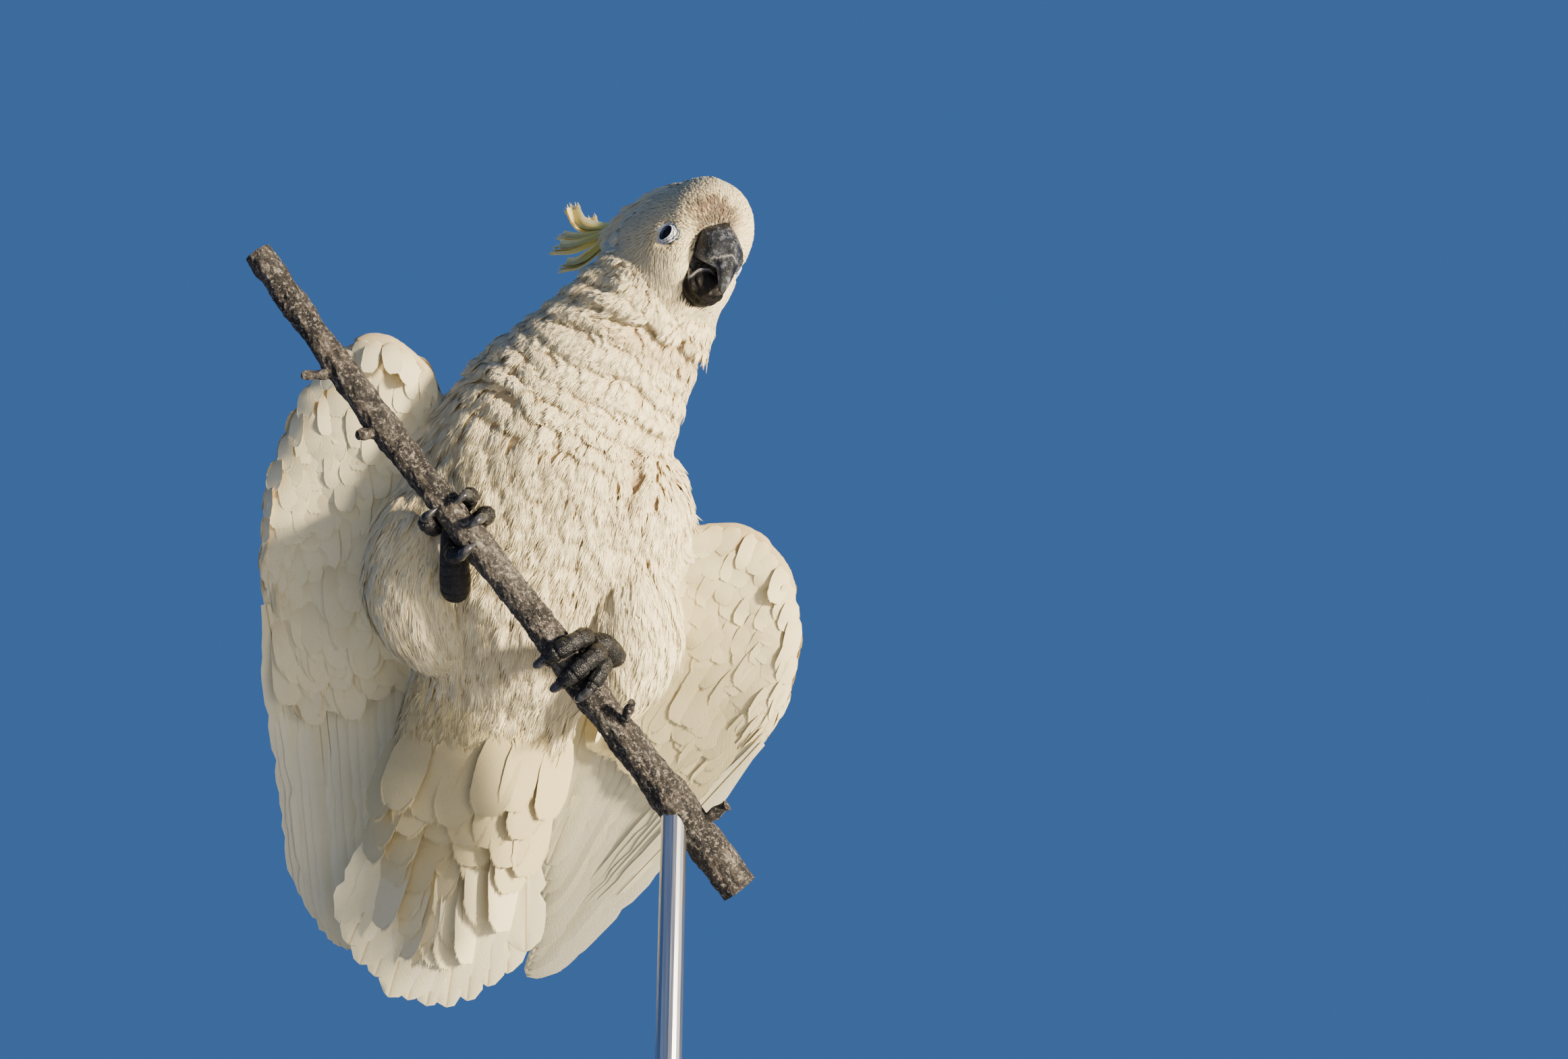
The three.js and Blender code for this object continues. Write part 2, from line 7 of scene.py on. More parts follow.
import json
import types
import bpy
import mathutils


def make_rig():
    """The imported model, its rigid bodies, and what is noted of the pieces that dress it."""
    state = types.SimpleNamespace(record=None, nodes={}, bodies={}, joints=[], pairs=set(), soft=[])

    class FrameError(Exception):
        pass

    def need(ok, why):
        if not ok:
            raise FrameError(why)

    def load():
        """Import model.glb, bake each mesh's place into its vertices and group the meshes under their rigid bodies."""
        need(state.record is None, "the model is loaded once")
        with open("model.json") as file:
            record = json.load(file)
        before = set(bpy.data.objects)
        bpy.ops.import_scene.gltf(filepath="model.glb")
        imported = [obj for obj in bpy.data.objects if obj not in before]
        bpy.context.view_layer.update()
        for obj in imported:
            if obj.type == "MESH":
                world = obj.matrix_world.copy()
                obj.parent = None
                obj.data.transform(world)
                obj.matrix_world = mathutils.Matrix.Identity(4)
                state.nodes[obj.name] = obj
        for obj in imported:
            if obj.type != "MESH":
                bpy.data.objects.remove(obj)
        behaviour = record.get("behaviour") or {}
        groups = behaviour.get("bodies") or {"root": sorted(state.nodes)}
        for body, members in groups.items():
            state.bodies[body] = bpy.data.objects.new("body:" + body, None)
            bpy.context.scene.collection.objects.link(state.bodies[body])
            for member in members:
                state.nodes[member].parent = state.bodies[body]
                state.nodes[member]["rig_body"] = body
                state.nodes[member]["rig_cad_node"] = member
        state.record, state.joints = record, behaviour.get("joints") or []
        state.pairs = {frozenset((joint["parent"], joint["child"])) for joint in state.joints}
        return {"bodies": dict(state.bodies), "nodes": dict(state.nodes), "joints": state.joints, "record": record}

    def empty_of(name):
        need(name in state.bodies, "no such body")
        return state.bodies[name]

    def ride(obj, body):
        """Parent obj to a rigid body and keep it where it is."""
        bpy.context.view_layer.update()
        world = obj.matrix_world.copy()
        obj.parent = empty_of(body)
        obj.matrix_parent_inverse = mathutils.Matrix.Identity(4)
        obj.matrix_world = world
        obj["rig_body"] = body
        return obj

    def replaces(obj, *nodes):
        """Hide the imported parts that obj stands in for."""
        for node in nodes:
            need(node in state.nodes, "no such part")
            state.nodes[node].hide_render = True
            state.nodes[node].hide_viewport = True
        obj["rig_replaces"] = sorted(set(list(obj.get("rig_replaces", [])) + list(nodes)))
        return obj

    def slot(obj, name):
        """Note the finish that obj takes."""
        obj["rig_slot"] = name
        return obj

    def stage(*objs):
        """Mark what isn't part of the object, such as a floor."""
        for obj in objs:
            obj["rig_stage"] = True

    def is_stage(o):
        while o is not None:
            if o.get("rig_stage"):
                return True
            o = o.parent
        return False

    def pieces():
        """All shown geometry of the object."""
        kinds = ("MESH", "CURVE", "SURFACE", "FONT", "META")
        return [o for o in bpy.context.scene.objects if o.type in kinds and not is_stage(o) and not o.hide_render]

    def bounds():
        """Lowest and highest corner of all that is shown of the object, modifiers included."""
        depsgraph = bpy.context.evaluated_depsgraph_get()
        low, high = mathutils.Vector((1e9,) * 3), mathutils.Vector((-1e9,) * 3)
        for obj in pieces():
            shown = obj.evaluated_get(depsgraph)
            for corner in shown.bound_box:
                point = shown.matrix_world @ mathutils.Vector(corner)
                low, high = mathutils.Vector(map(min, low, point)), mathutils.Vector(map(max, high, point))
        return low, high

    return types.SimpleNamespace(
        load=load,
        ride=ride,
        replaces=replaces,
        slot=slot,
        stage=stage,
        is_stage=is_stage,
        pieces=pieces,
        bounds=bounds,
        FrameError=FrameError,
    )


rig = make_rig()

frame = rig.load()
cad_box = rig.bounds()

import json
import math
from contextlib import contextmanager

import bpy
import numpy as np
from mathutils import Vector
from mathutils.bvhtree import BVHTree

LEAN = math.radians(28)
BIRD_AT = np.array((-4.0, -24.0, 556.0))
MM = 0.001
X_AXIS = (1, 0, 0)
MARKINGS, VANE, BAKE = "plume", "Vane", "OFBake"  # a colour for each vertex, and two UV maps
rng = np.random.default_rng(20)

# ---------------------------------------------------------------- places and curves


def stood(points):
    """Bird-frame millimetres as metres in the shared frame."""
    p = np.asarray(points, float)
    c, s = math.cos(LEAN), math.sin(LEAN)
    turned = np.stack([p[..., 0], p[..., 1] * c - p[..., 2] * s, p[..., 1] * s + p[..., 2] * c], -1)
    return (turned + BIRD_AT) * MM


def laid(points):
    """Metres in the shared frame as bird-frame millimetres."""
    p = np.asarray(points, float) / MM - BIRD_AT
    c, s = math.cos(LEAN), math.sin(LEAN)
    return np.stack([p[..., 0], p[..., 1] * c + p[..., 2] * s, -p[..., 1] * s + p[..., 2] * c], -1)


def unit(v):
    """Vectors made one long."""
    v = np.asarray(v, float)
    return v / np.maximum(np.linalg.norm(v, axis=-1, keepdims=True), 1e-9)


def square_to(v, way):
    """What is left of vectors once their part along a way is taken out."""
    return v - (v * way).sum(-1, keepdims=True) * way


def smooth(t):
    """An eased step: 0 up to 0, 1 from 1 on."""
    t = np.clip(t, 0, 1)
    return t * t * (3 - 2 * t)


def spot(x, y, wide, high):
    """A soft spot, 1 where x and y are 0 and nothing well past wide and high."""
    return np.exp(-((x / wide) ** 2 + (y / high) ** 2))


def waves(points, size, seed):
    """Soft random waves over places, from about -1 to 1, about size across."""
    wave_rng = np.random.default_rng(seed)
    total = np.zeros(len(points))
    for _ in range(7):
        way = unit(wave_rng.normal(size=3)) * math.tau / (size * wave_rng.uniform(0.7, 1.6))
        total += np.sin(points @ way + wave_rng.uniform(0, math.tau))
    return total / 4.5


class Curve:
    """A centripetal Catmull-Rom curve through points, read at parameters from 0 to 1."""

    def __init__(self, points):
        p = np.asarray(points, float)
        self.points = np.vstack([2 * p[0] - p[1], p, 2 * p[-1] - p[-2]])
        self.spans = len(p) - 1

    def at(self, t):
        t = np.clip(np.asarray(t, float), 0, 1) * self.spans
        i = np.minimum(t.astype(int), self.spans - 1)
        w = (t - i)[..., None]
        p0, p1, p2, p3 = (self.points[i + k] for k in range(4))
        pairs = (p0, p1), (p1, p2), (p2, p3)
        d0, d1, d2 = (np.sqrt(np.linalg.norm(b - a, axis=-1, keepdims=True)) for a, b in pairs)
        t1 = ((p1 - p0) / d0 - (p2 - p0) / (d0 + d1) + (p2 - p1) / d1) * d1
        t2 = ((p2 - p1) / d1 - (p3 - p1) / (d1 + d2) + (p3 - p2) / d2) * d1
        return p1 + t1 * w + (3 * (p2 - p1) - 2 * t1 - t2) * w**2 + (2 * (p1 - p2) + t1 + t2) * w**3

    def along(self, t):
        """The curve's direction."""
        t = np.asarray(t, float)
        return unit(self.at(np.minimum(t + 1e-3, 1)) - self.at(np.maximum(t - 1e-3, 0)))

    def place_of(self, points, steps=160):
        """The parameter of the curve's nearest place to each point."""
        line = self.at(np.linspace(0, 1, steps))
        away = np.linalg.norm(points[:, None, :] - line[None, :, :], axis=-1)
        return away.argmin(1) / (steps - 1)


def profile(values):
    """A smooth function of 0 to 1 through evenly spaced values."""
    curve = Curve([(i, v, 0) for i, v in enumerate(values)])
    return lambda t: np.maximum(curve.at(t)[..., 1], 0.05)


# ---------------------------------------------------------------- driving shapes, as in the part's source

BODY = dict(
    spine=[(-19, 12, -92), (-11, 8, -55), (-3, 3, -18), (6, 1, 14), (12, -1, 42), (21, -5, 66),
           (34, -9, 85), (50, -14, 107), (65, -18, 127), (76, -20, 142)],
    width=[22, 52, 69, 75, 69, 57, 48, 39.5, 34, 25],
    depth=[18, 40, 47, 49, 50, 46, 41, 35, 31, 22])
THIGHS = {
    "right": dict(
        spine=[(-30, -8, 34), (-46, -13, 8), (-51, -17, -18), (-45, -21, -42), (-41, -24, -56)],
        width=[16, 29, 29, 21, 8], depth=[16, 25, 24, 17, 7]),
    "left": dict(
        spine=[(32, -8, 12), (43, -13, -14), (48, -18, -42), (46, -22, -66), (44, -24, -80)],
        width=[16, 26, 25, 17, 7], depth=[16, 24, 22, 15, 6]),
}
TAIL_COVERTS = dict(
    spine=[(-10, 2, -44), (-22, 9, -78), (-33, 17, -112), (-41, 28, -144), (-46, 34, -166)],
    width=[36, 42, 40, 30, 12], depth=[28, 26, 15, 7, 1.5])
TAIL_ROOT, TAIL_LENGTH, TAIL_RAKE, TAIL_FEATHERS = np.array((-22.0, 20.0, -72.0)), 174, 0.185, 12
WINGS = {
    "left": dict(
        lead=[(50, -6, 8), (85, -9, 16), (115, -10, 10), (131, -7, -17), (131, 0, -53), (120, 12, -86)],
        covers=[(34, 26, -60), (50, 28, -76), (66, 28, -88), (82, 28, -98), (94, 27, -104),
                (104, 24, -102)],
        tips=[(6, 60, -142), (-2, 76, -172), (-7, 94, -198), (-11, 109, -218), (-15, 121, -231),
              (-8, 124, -228)],
        bow=0, arm_half=[11, 13, 13, 12, 10, 7]),
    "right": dict(
        lead=[(-37, -6, 62), (-55, -12, 98), (-80, -12, 109), (-106, -6, 90), (-129, 2, 46),
              (-138, 10, -10)],
        covers=[(-52, 26, -14), (-66, 26, -34), (-82, 26, -44), (-98, 26, -50), (-112, 26, -52),
                (-130, 22, -46)],
        tips=[(-60, 54, -122), (-68, 62, -154), (-82, 70, -186), (-98, 77, -211), (-113, 80, -206),
              (-127, 78, -178)],
        bow=-10, arm_half=[11, 14, 15, 13, 10, 7]),
}

HEAD_CENTRE = np.array((75.5, -20.0, 143.0))
FORWARD = unit((0.66, -0.68, 0.32))
CROWNWARD = unit(np.array((0.059, 0.471, 0.88)) - 0.0003 * FORWARD)
RIGHTWARD = unit(np.cross(FORWARD, CROWNWARD))

# Places in the head's middle plane, as forward and up from its centre.
SKULL = dict(
    outer=[(-46, -2), (-44, 16), (-30, 31), (-8, 37), (14, 37), (30, 30), (39, 17), (37, 7)],
    inner=[(-42, -12), (-37, -24), (-25, -33), (-8, -38), (5, -38.5), (14, -33), (19.5, -16.5), (24, -4)],
    width=[14, 25, 30, 31.5, 29.5, 26, 19, 9])
UPPER_BILL = dict(
    outer=[(21.5, 6.5), (29.5, 4.2), (35, -2.6), (37.8, -12), (38.4, -21), (37, -30), (32.6, -38.2)],
    inner=[(13, -9), (18.5, -14), (24, -18.7), (28.6, -22.4), (31.4, -25), (31.6, -30), (31.6, -36.8)],
    width=[8, 11, 11.8, 10, 5.2, 3.4, 1.2])
LOWER_BILL = dict(
    outer=[(4, -28), (9.5, -33), (16.5, -34.8), (22.5, -33.6), (27.5, -29)],
    inner=[(10, -20), (15, -20.3), (20, -21.5), (24, -23), (27.5, -23.6)],
    width=[6.5, 10, 10.4, 8.3, 4.6])
EYE_FORWARD, EYE_UP, EYE_APART, EYE_SHIFT, EYEBALL = 16.0, -7.5, 17.2, 2.2, 5.8

# How deep the plumage is over the flesh, by form.
COAT_DEPTH, FACE_COAT, TAIL_COAT, WING_COAT = 3.4, 2.9, 2.2, 3.0
SKIN_VOXEL = 1.7 * MM


def in_head(forward, up, right=0.0):
    """A place given in the head's own axes."""
    return HEAD_CENTRE + forward * FORWARD + up * CROWNWARD + right * RIGHTWARD


def of_head(points):
    """Forward, up and right places of points in the head's own axes."""
    away = np.asarray(points) - HEAD_CENTRE
    return away @ FORWARD, away @ CROWNWARD, away @ RIGHTWARD


def near_head(co, reach):
    """Whether places are within reach of the head's centre."""
    return np.linalg.norm(co - HEAD_CENTRE, axis=1) < reach


def eye_place(sign):
    """The centre of an eye, the right one where sign is 1 and the left one where it is -1."""
    return in_head(EYE_FORWARD, EYE_UP, EYE_APART * sign + EYE_SHIFT)


def eye_way(sign):
    """The way an eye looks."""
    return unit(sign * RIGHTWARD + 0.08 * FORWARD)


def socket_away(co):
    """How far places are from the nearer eye's axis."""
    gaps = []
    for sign in (-1, 1):
        out = eye_way(sign)
        off = co - eye_place(sign)
        ahead = off @ out
        gaps.append(np.linalg.norm(off - ahead[:, None] * out, axis=1) + 100 * (ahead < -2))
    return np.minimum(*gaps)


# ---------------------------------------------------------------- making meshes


def nothing_selected():
    if bpy.context.object and bpy.context.object.mode != "OBJECT":
        bpy.ops.object.mode_set(mode="OBJECT")
    bpy.ops.object.select_all(action="DESELECT")


def chosen(piece):
    nothing_selected()
    piece.select_set(True)
    bpy.context.view_layer.objects.active = piece


@contextmanager
def editing(piece):
    """All of a piece selected in edit mode."""
    chosen(piece)
    bpy.ops.object.mode_set(mode="EDIT")
    bpy.ops.mesh.select_all(action="SELECT")
    yield
    bpy.ops.object.mode_set(mode="OBJECT")


def values_of(items, name, width, kind=np.float32):
    """One attribute of all items, such as a mesh's vertices, with a row for each."""
    values = np.empty(len(items) * width, kind)
    items.foreach_get(name, values)
    return values.reshape(-1, width)


def verts_of(piece):
    return values_of(piece.data.vertices, "co", 3, float)


def move_verts(piece, co):
    piece.data.vertices.foreach_set("co", np.ascontiguousarray(co, float).ravel())
    piece.data.update()


def tree_of(*pieces):
    """A search tree over the pieces' faces, in the bird's own frame."""
    places, faces = [], []
    for piece in pieces:
        start = len(places)
        places += laid(verts_of(piece)).tolist()
        faces += [tuple(v + start for v in face.vertices) for face in piece.data.polygons]
    return BVHTree.FromPolygons(places, faces)


def outward(piece):
    """Turn a closed piece's faces outwards and shade it smooth."""
    with editing(piece):
        bpy.ops.mesh.normals_make_consistent(inside=False)
    bpy.ops.object.shade_smooth()
    return piece


def ball(name, segments, rings, shape):
    """A unit sphere whose points are sent through shape(t from pole to pole, turn, is_pole)."""
    nothing_selected()
    bpy.ops.mesh.primitive_uv_sphere_add(segments=segments, ring_count=rings, radius=1)
    piece = bpy.context.object
    piece.name = name
    co = verts_of(piece)
    is_pole = np.abs(co[:, 2]) > 0.99999
    from_pole = np.arccos(np.clip(co[:, 2], -1, 1)) / math.pi
    t = np.where(is_pole, (co[:, 2] < 0).astype(float), from_pole)
    turn = np.arctan2(co[:, 1], co[:, 0])
    move_verts(piece, stood(shape(t, turn, is_pole)))
    return outward(piece)


THINNEST = 0.3


def limb_shape(spine, width, depth, side, swell=0.0, relief=None):
    """A rounded form along a spine, with half sizes at even stations and side as the width's way."""
    curve, width_at, depth_at = Curve(spine), profile(width), profile(depth)

    def shape(t, turn, is_pole):
        tangent = curve.along(t)
        across = unit(square_to(np.broadcast_to(np.asarray(side, float), tangent.shape), tangent))
        through = np.cross(tangent, across)
        extra = swell + (relief(t, turn) if relief else 0)
        reach_w = np.where(is_pole, 0, np.cos(turn) * np.maximum(width_at(t) + extra, THINNEST))
        reach_d = np.where(is_pole, 0, np.sin(turn) * np.maximum(depth_at(t) + extra, THINNEST))
        cap = np.where(is_pole, np.where(t < 0.5, -swell, swell), 0)
        return curve.at(t) + across * reach_w[:, None] + through * reach_d[:, None] + tangent * cap[:, None]

    return shape


def between_shape(outer, inner, width, swell=0.0, relief=None, section=None):
    """A form between two lines in its plane of symmetry, such as a bill's ridge and edge.

    It is round unless section turns the round's cosine and sine, and t, into others.
    """
    outer, inner, width_at = Curve(outer), Curve(inner), profile(width)

    def middle(t):
        return (outer.at(t) + inner.at(t)) / 2

    def shape(t, turn, is_pole):
        tangent = unit(middle(np.minimum(t + 0.02, 1)) - middle(np.maximum(t - 0.02, 0)))
        span = outer.at(t) - inner.at(t)
        half = np.linalg.norm(span, axis=-1) / 2
        through = unit(span)
        across = unit(np.cross(tangent, through))
        extra = swell + (relief(t, turn) if relief else 0)
        wide, deep = np.cos(turn), np.sin(turn)
        if section:
            wide, deep = section(wide, deep, t)
        reach_w = np.where(is_pole, 0, wide * np.maximum(width_at(t) + extra, THINNEST))
        reach_d = np.where(is_pole, 0, deep * np.maximum(half + extra, THINNEST))
        return middle(t) + across * reach_w[:, None] + through * reach_d[:, None]

    return shape


def head_shape(lines, **extra):
    """A form between two lines in the head's middle plane."""
    outer, inner = ([in_head(*place) for place in lines[line]] for line in ("outer", "inner"))
    return between_shape(outer, inner, lines["width"], **extra)


def joined(pieces, name):
    nothing_selected()
    for piece in pieces:
        piece.select_set(True)
    bpy.context.view_layer.objects.active = pieces[0]
    bpy.ops.object.join()
    whole = bpy.context.object
    whole.name = name
    return whole


def apply_modifier(piece, kind, **settings):
    chosen(piece)
    modifier = piece.modifiers.new(kind.title(), kind)
    for key, value in settings.items():
        setattr(modifier, key, value)
    bpy.ops.object.modifier_apply(modifier=modifier.name)


def paint(mesh, colours):
    """Give each vertex the colour that the looks read."""
    layer = mesh.color_attributes.new(MARKINGS, "FLOAT_COLOR", "POINT")
    rgba = np.hstack([colours, np.ones((len(colours), 1))])
    layer.data.foreach_set("color", rgba.astype(np.float32).ravel())


def mesh_piece(name, co, triangles, uvs=None, colours=None):
    """A piece from world places and triangles, with UVs and colours by vertex."""
    mesh = bpy.data.meshes.new(name)
    mesh.vertices.add(len(co))
    mesh.vertices.foreach_set("co", np.ascontiguousarray(co, np.float32).ravel())
    mesh.loops.add(triangles.size)
    mesh.loops.foreach_set("vertex_index", np.ascontiguousarray(triangles, np.int32).ravel())
    mesh.polygons.add(len(triangles))
    mesh.polygons.foreach_set("loop_start", np.arange(0, triangles.size, 3, dtype=np.int32))
    mesh.update(calc_edges=True)
    for uv_name, uv in (uvs or {}).items():
        layer = mesh.uv_layers.new(name=uv_name)
        layer.uv.foreach_set("vector", np.ascontiguousarray(uv[triangles.ravel()], np.float32).ravel())
    if colours is not None:
        paint(mesh, colours)
    mesh.shade_smooth()
    piece = bpy.data.objects.new(name, mesh)
    bpy.context.collection.objects.link(piece)
    return piece


def tube_faces(rings, around):
    """Triangles of a tube whose vertices go round, ring after ring."""
    i, k = (x.ravel() for x in np.meshgrid(np.arange(rings - 1), np.arange(around), indexing="ij"))
    a, b = i * around + k, i * around + (k + 1) % around
    return np.vstack([np.stack([a, b, b + around], -1), np.stack([a, b + around, a + around], -1)])


# ---------------------------------------------------------------- shader expressions


class Socket:
    """A value in a material, so that shader maths reads as arithmetic."""

    def __init__(self, look, link):
        self.look, self.link = look, link

    def _math(self, operation, *values):
        return self.look.node("ShaderNodeMath", {"operation": operation}, *values)

    def __add__(self, other):
        return self._math("ADD", self, other)

    def __sub__(self, other):
        return self._math("SUBTRACT", self, other)

    def __rsub__(self, other):
        return self._math("SUBTRACT", other, self)

    def __mul__(self, other):
        return self._math("MULTIPLY", self, other)

    __radd__ = __add__
    __rmul__ = __mul__

    def abs(self):
        return self._math("ABSOLUTE", self)

    def between(self, low, high):
        """0 at low, 1 at high, eased in between."""
        kind = {"interpolation_type": "SMOOTHSTEP"}
        return self.look.node("ShaderNodeMapRange", kind, self, low, high, 0.0, 1.0)


class Look:
    """One material's node tree."""

    def __init__(self, name):
        self.material = bpy.data.materials.new(name)
        self.material.use_nodes = True
        self.tree = self.material.node_tree
        self.shader = self.tree.nodes["Principled BSDF"]
        self.object = self.node("ShaderNodeTexCoord", {}, out="Object")

    def _feed(self, socket, value):
        if isinstance(value, Socket):
            self.tree.links.new(value.link, socket)
        elif value is not None:
            socket.default_value = (*value, 1) if socket.type == "RGBA" else value

    def node(self, kind, settings, *values, out=0, **named):
        """A node with its settings, fed by place or by name, and its output out."""
        made = self.tree.nodes.new(kind)
        for key, value in settings.items():
            if key == "stops":
                ramp = made.color_ramp
                while len(ramp.elements) < len(value):
                    ramp.elements.new(0.5)
                for element, (position, colour) in zip(ramp.elements, value):
                    element.position, element.color = position, (*colour, 1)
            else:
                setattr(made, key, value)
        for i, value in enumerate(values):
            self._feed(made.inputs[i], value)
        for key, value in named.items():
            self._feed(made.inputs[key.replace("_", " ")], value)
        return Socket(self, made.outputs[out])

    def noise(self, scale, detail=3.0, roughness=0.55, vector=None, stretch=None):
        vector = vector or self.object
        if stretch:
            vector = self.node("ShaderNodeVectorMath", {"operation": "MULTIPLY"}, vector, stretch)
        return self.node(
            "ShaderNodeTexNoise", {}, Vector=vector, Scale=scale, Detail=detail, Roughness=roughness)

    def ramp(self, value, *stops):
        return self.node("ShaderNodeValToRGB", {"stops": stops}, value)

    def mix(self, factor, a, b):
        """Colour a turned into colour b by a factor."""
        unused = [None] * 5  # the node's sockets for plain values and vectors
        return self.node("ShaderNodeMix", {"data_type": "RGBA"}, factor, *unused, a, b, out=2)

    def bump(self, height, distance, strength=1.0, normal=None):
        return self.node(
            "ShaderNodeBump", {}, Height=height, Distance=distance, Strength=strength, Normal=normal)

    def split(self, vector):
        outputs = self.node("ShaderNodeSeparateXYZ", {}, vector).link.node.outputs
        return [Socket(self, output) for output in outputs]

    def markings(self):
        """The colours painted on the piece's vertices."""
        return self.node("ShaderNodeVertexColor", {"layer_name": MARKINGS})

    def channel(self, colour, index=0):
        return self.node("ShaderNodeSeparateColor", {}, colour, out=index)

    def barbs(self, density):
        """Fine lines that slant from a feather's shaft, and the place across its vane."""
        across, along, _ = self.split(self.node("ShaderNodeUVMap", {"uv_map": VANE}))
        slant = along - (across - 0.5).abs() * 0.55
        place = self.node("ShaderNodeCombineXYZ", {}, slant * density, across * 2.5, along * 0.7)
        return self.noise(1, detail=3, roughness=0.6, vector=place), across

    def finish(self, **sockets):
        for name, value in sockets.items():
            self._feed(self.shader.inputs[name.replace("_", " ")], value)
        return self.material


def dressed(piece, material, slot, *nodes):
    """Give a piece its material and its place in the part."""
    piece.data.materials.clear()
    piece.data.materials.append(material)
    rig.ride(piece, "root")
    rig.slot(piece, slot)
    if nodes:
        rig.replaces(piece, *nodes)


# ---------------------------------------------------------------- camera, floor and lights

FRAME_WIDTH, VIEW_DISTANCE, SENSOR = 774.7, 1150.0, 36.0
VIEW_CENTRE = np.array((123.8, 0.0, 9.7))
SUN_AT = (1680, -1060, 360)
SKY, SKY_STRENGTH = (0.083, 0.23, 0.61), 0.58


def set_camera():
    """A level view of the leaning bird's front, which looks up at it by the angle that it leans."""
    data = bpy.data.cameras.new("camera")
    data.sensor_width = SENSOR
    data.lens = SENSOR * VIEW_DISTANCE / FRAME_WIDTH
    data.clip_start, data.clip_end = 0.01, 50
    camera = bpy.data.objects.new("camera", data)
    bpy.context.collection.objects.link(camera)
    camera.location = stood(VIEW_CENTRE - (0, VIEW_DISTANCE, 0))
    camera.rotation_euler = (math.radians(90) + LEAN, 0, 0)
    bpy.context.scene.camera = camera


def area_light(name, place, size, power, colour):
    """A round light that faces the bird."""
    data = bpy.data.lights.new(name, "AREA")
    data.shape, data.size, data.energy, data.color = "DISK", size, power, colour
    light = bpy.data.objects.new(name, data)
    bpy.context.collection.objects.link(light)
    light.location = place
    light.rotation_euler = (Vector(stood((0, 0, 20))) - Vector(place)).to_track_quat("-Z", "Y").to_euler()


def set_stage():
    nothing_selected()
    bpy.ops.mesh.primitive_plane_add(size=8)
    floor = bpy.context.object
    floor.name = "floor"
    floor.data.materials.append(Look("floor_paint").finish(Base_Color=(0.62, 0.63, 0.64), Roughness=0.9))
    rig.stage(floor)
    world = bpy.data.worlds.new("studio")
    bpy.context.scene.world = world
    world.use_nodes = True
    world.node_tree.nodes["Background"].inputs["Color"].default_value = (*SKY, 1)
    world.node_tree.nodes["Background"].inputs["Strength"].default_value = SKY_STRENGTH
    area_light("key", stood(SUN_AT), 0.24, 190, (1.0, 0.86, 0.64))
    area_light("fill", (-1.6, -1.7, 0.8), 1.8, 1.4, (0.9, 0.95, 1.0))
    area_light("back", (-0.9, 1.8, 1.7), 1.2, 9, (0.95, 0.97, 1.0))


# ---------------------------------------------------------------- looks


def plumage_look(name, has_barbs=True, has_shaft=False):
    """Feathers take their markings from their own points, and their barbs from their UVs."""
    look = Look(name)
    colour = look.mix(look.noise(900, detail=2).between(0.3, 0.75) * 0.16, look.markings(), (0.62, 0.58, 0.5))
    normal = look.bump(look.noise(1400, detail=2), 0.0002, 0.5)
    if has_barbs:
        barbs, across = look.barbs(70)
        normal = look.bump(barbs, 0.00022, 0.5, normal)
        colour = look.mix(barbs.between(0.62, 0.4) * 0.13, colour, (0.6, 0.53, 0.4))
        if has_shaft:
            from_shaft = (across - 0.5).abs()
            colour = look.mix(from_shaft.between(0.03, 0.015) * 0.7, colour, (0.52, 0.4, 0.2))
            colour = look.mix(from_shaft.between(0.25, 0.5) * 0.35, colour, (0.86, 0.82, 0.68))
    return look.finish(
        Base_Color=colour, Normal=normal, Roughness=0.72, Sheen_Weight=0.12, Sheen_Roughness=0.5,
        Specular_IOR_Level=0.3)


def crest_look():
    """Yellow plumes thin enough for light to come through."""
    look = Look("crest_plumes")
    barbs, _ = look.barbs(60)
    colour = look.mix(barbs.between(0.62, 0.4) * 0.25, look.markings(), (0.75, 0.55, 0.12))
    look.shader.subsurface_method = "RANDOM_WALK"
    return look.finish(
        Base_Color=colour, Normal=look.bump(barbs, 0.0003, 0.6), Roughness=0.6, Subsurface_Weight=0.35,
        Subsurface_Radius=(0.012, 0.009, 0.003), Subsurface_Scale=0.6, Specular_IOR_Level=0.3)


def horn_look():
    """The upper bill: dark grey horn, flaked, scratched and worn pale where it is painted so."""
    look = Look("bill_horn")
    fine = look.noise(1500, detail=4, roughness=0.7)
    scratch = look.noise(150, detail=6, roughness=0.75, stretch=(5, 1, 1.4))
    flakes = look.noise(420, detail=6, roughness=0.75).between(0.57, 0.66)
    colour = look.ramp(
        look.noise(190, detail=7, roughness=0.75),
        (0.4, (0.002, 0.0023, 0.003)), (0.54, (0.014, 0.016, 0.021)), (0.64, (0.11, 0.12, 0.14)))
    colour = look.mix(scratch.between(0.56, 0.66) * 0.35, colour, (0.25, 0.255, 0.27))
    colour = look.mix(flakes * 0.45, colour, (0.4, 0.4, 0.39))
    worn = look.channel(look.markings()) * fine.between(0.3, 0.55) * 0.8
    colour = look.mix(worn, colour, (0.62, 0.6, 0.55))
    height = scratch * 0.6 + fine * 0.5 - flakes * 0.35
    return look.finish(
        Base_Color=colour, Roughness=0.36 + fine * 0.25, Specular_IOR_Level=0.32,
        Normal=look.bump(height, 0.0008, 0.8))


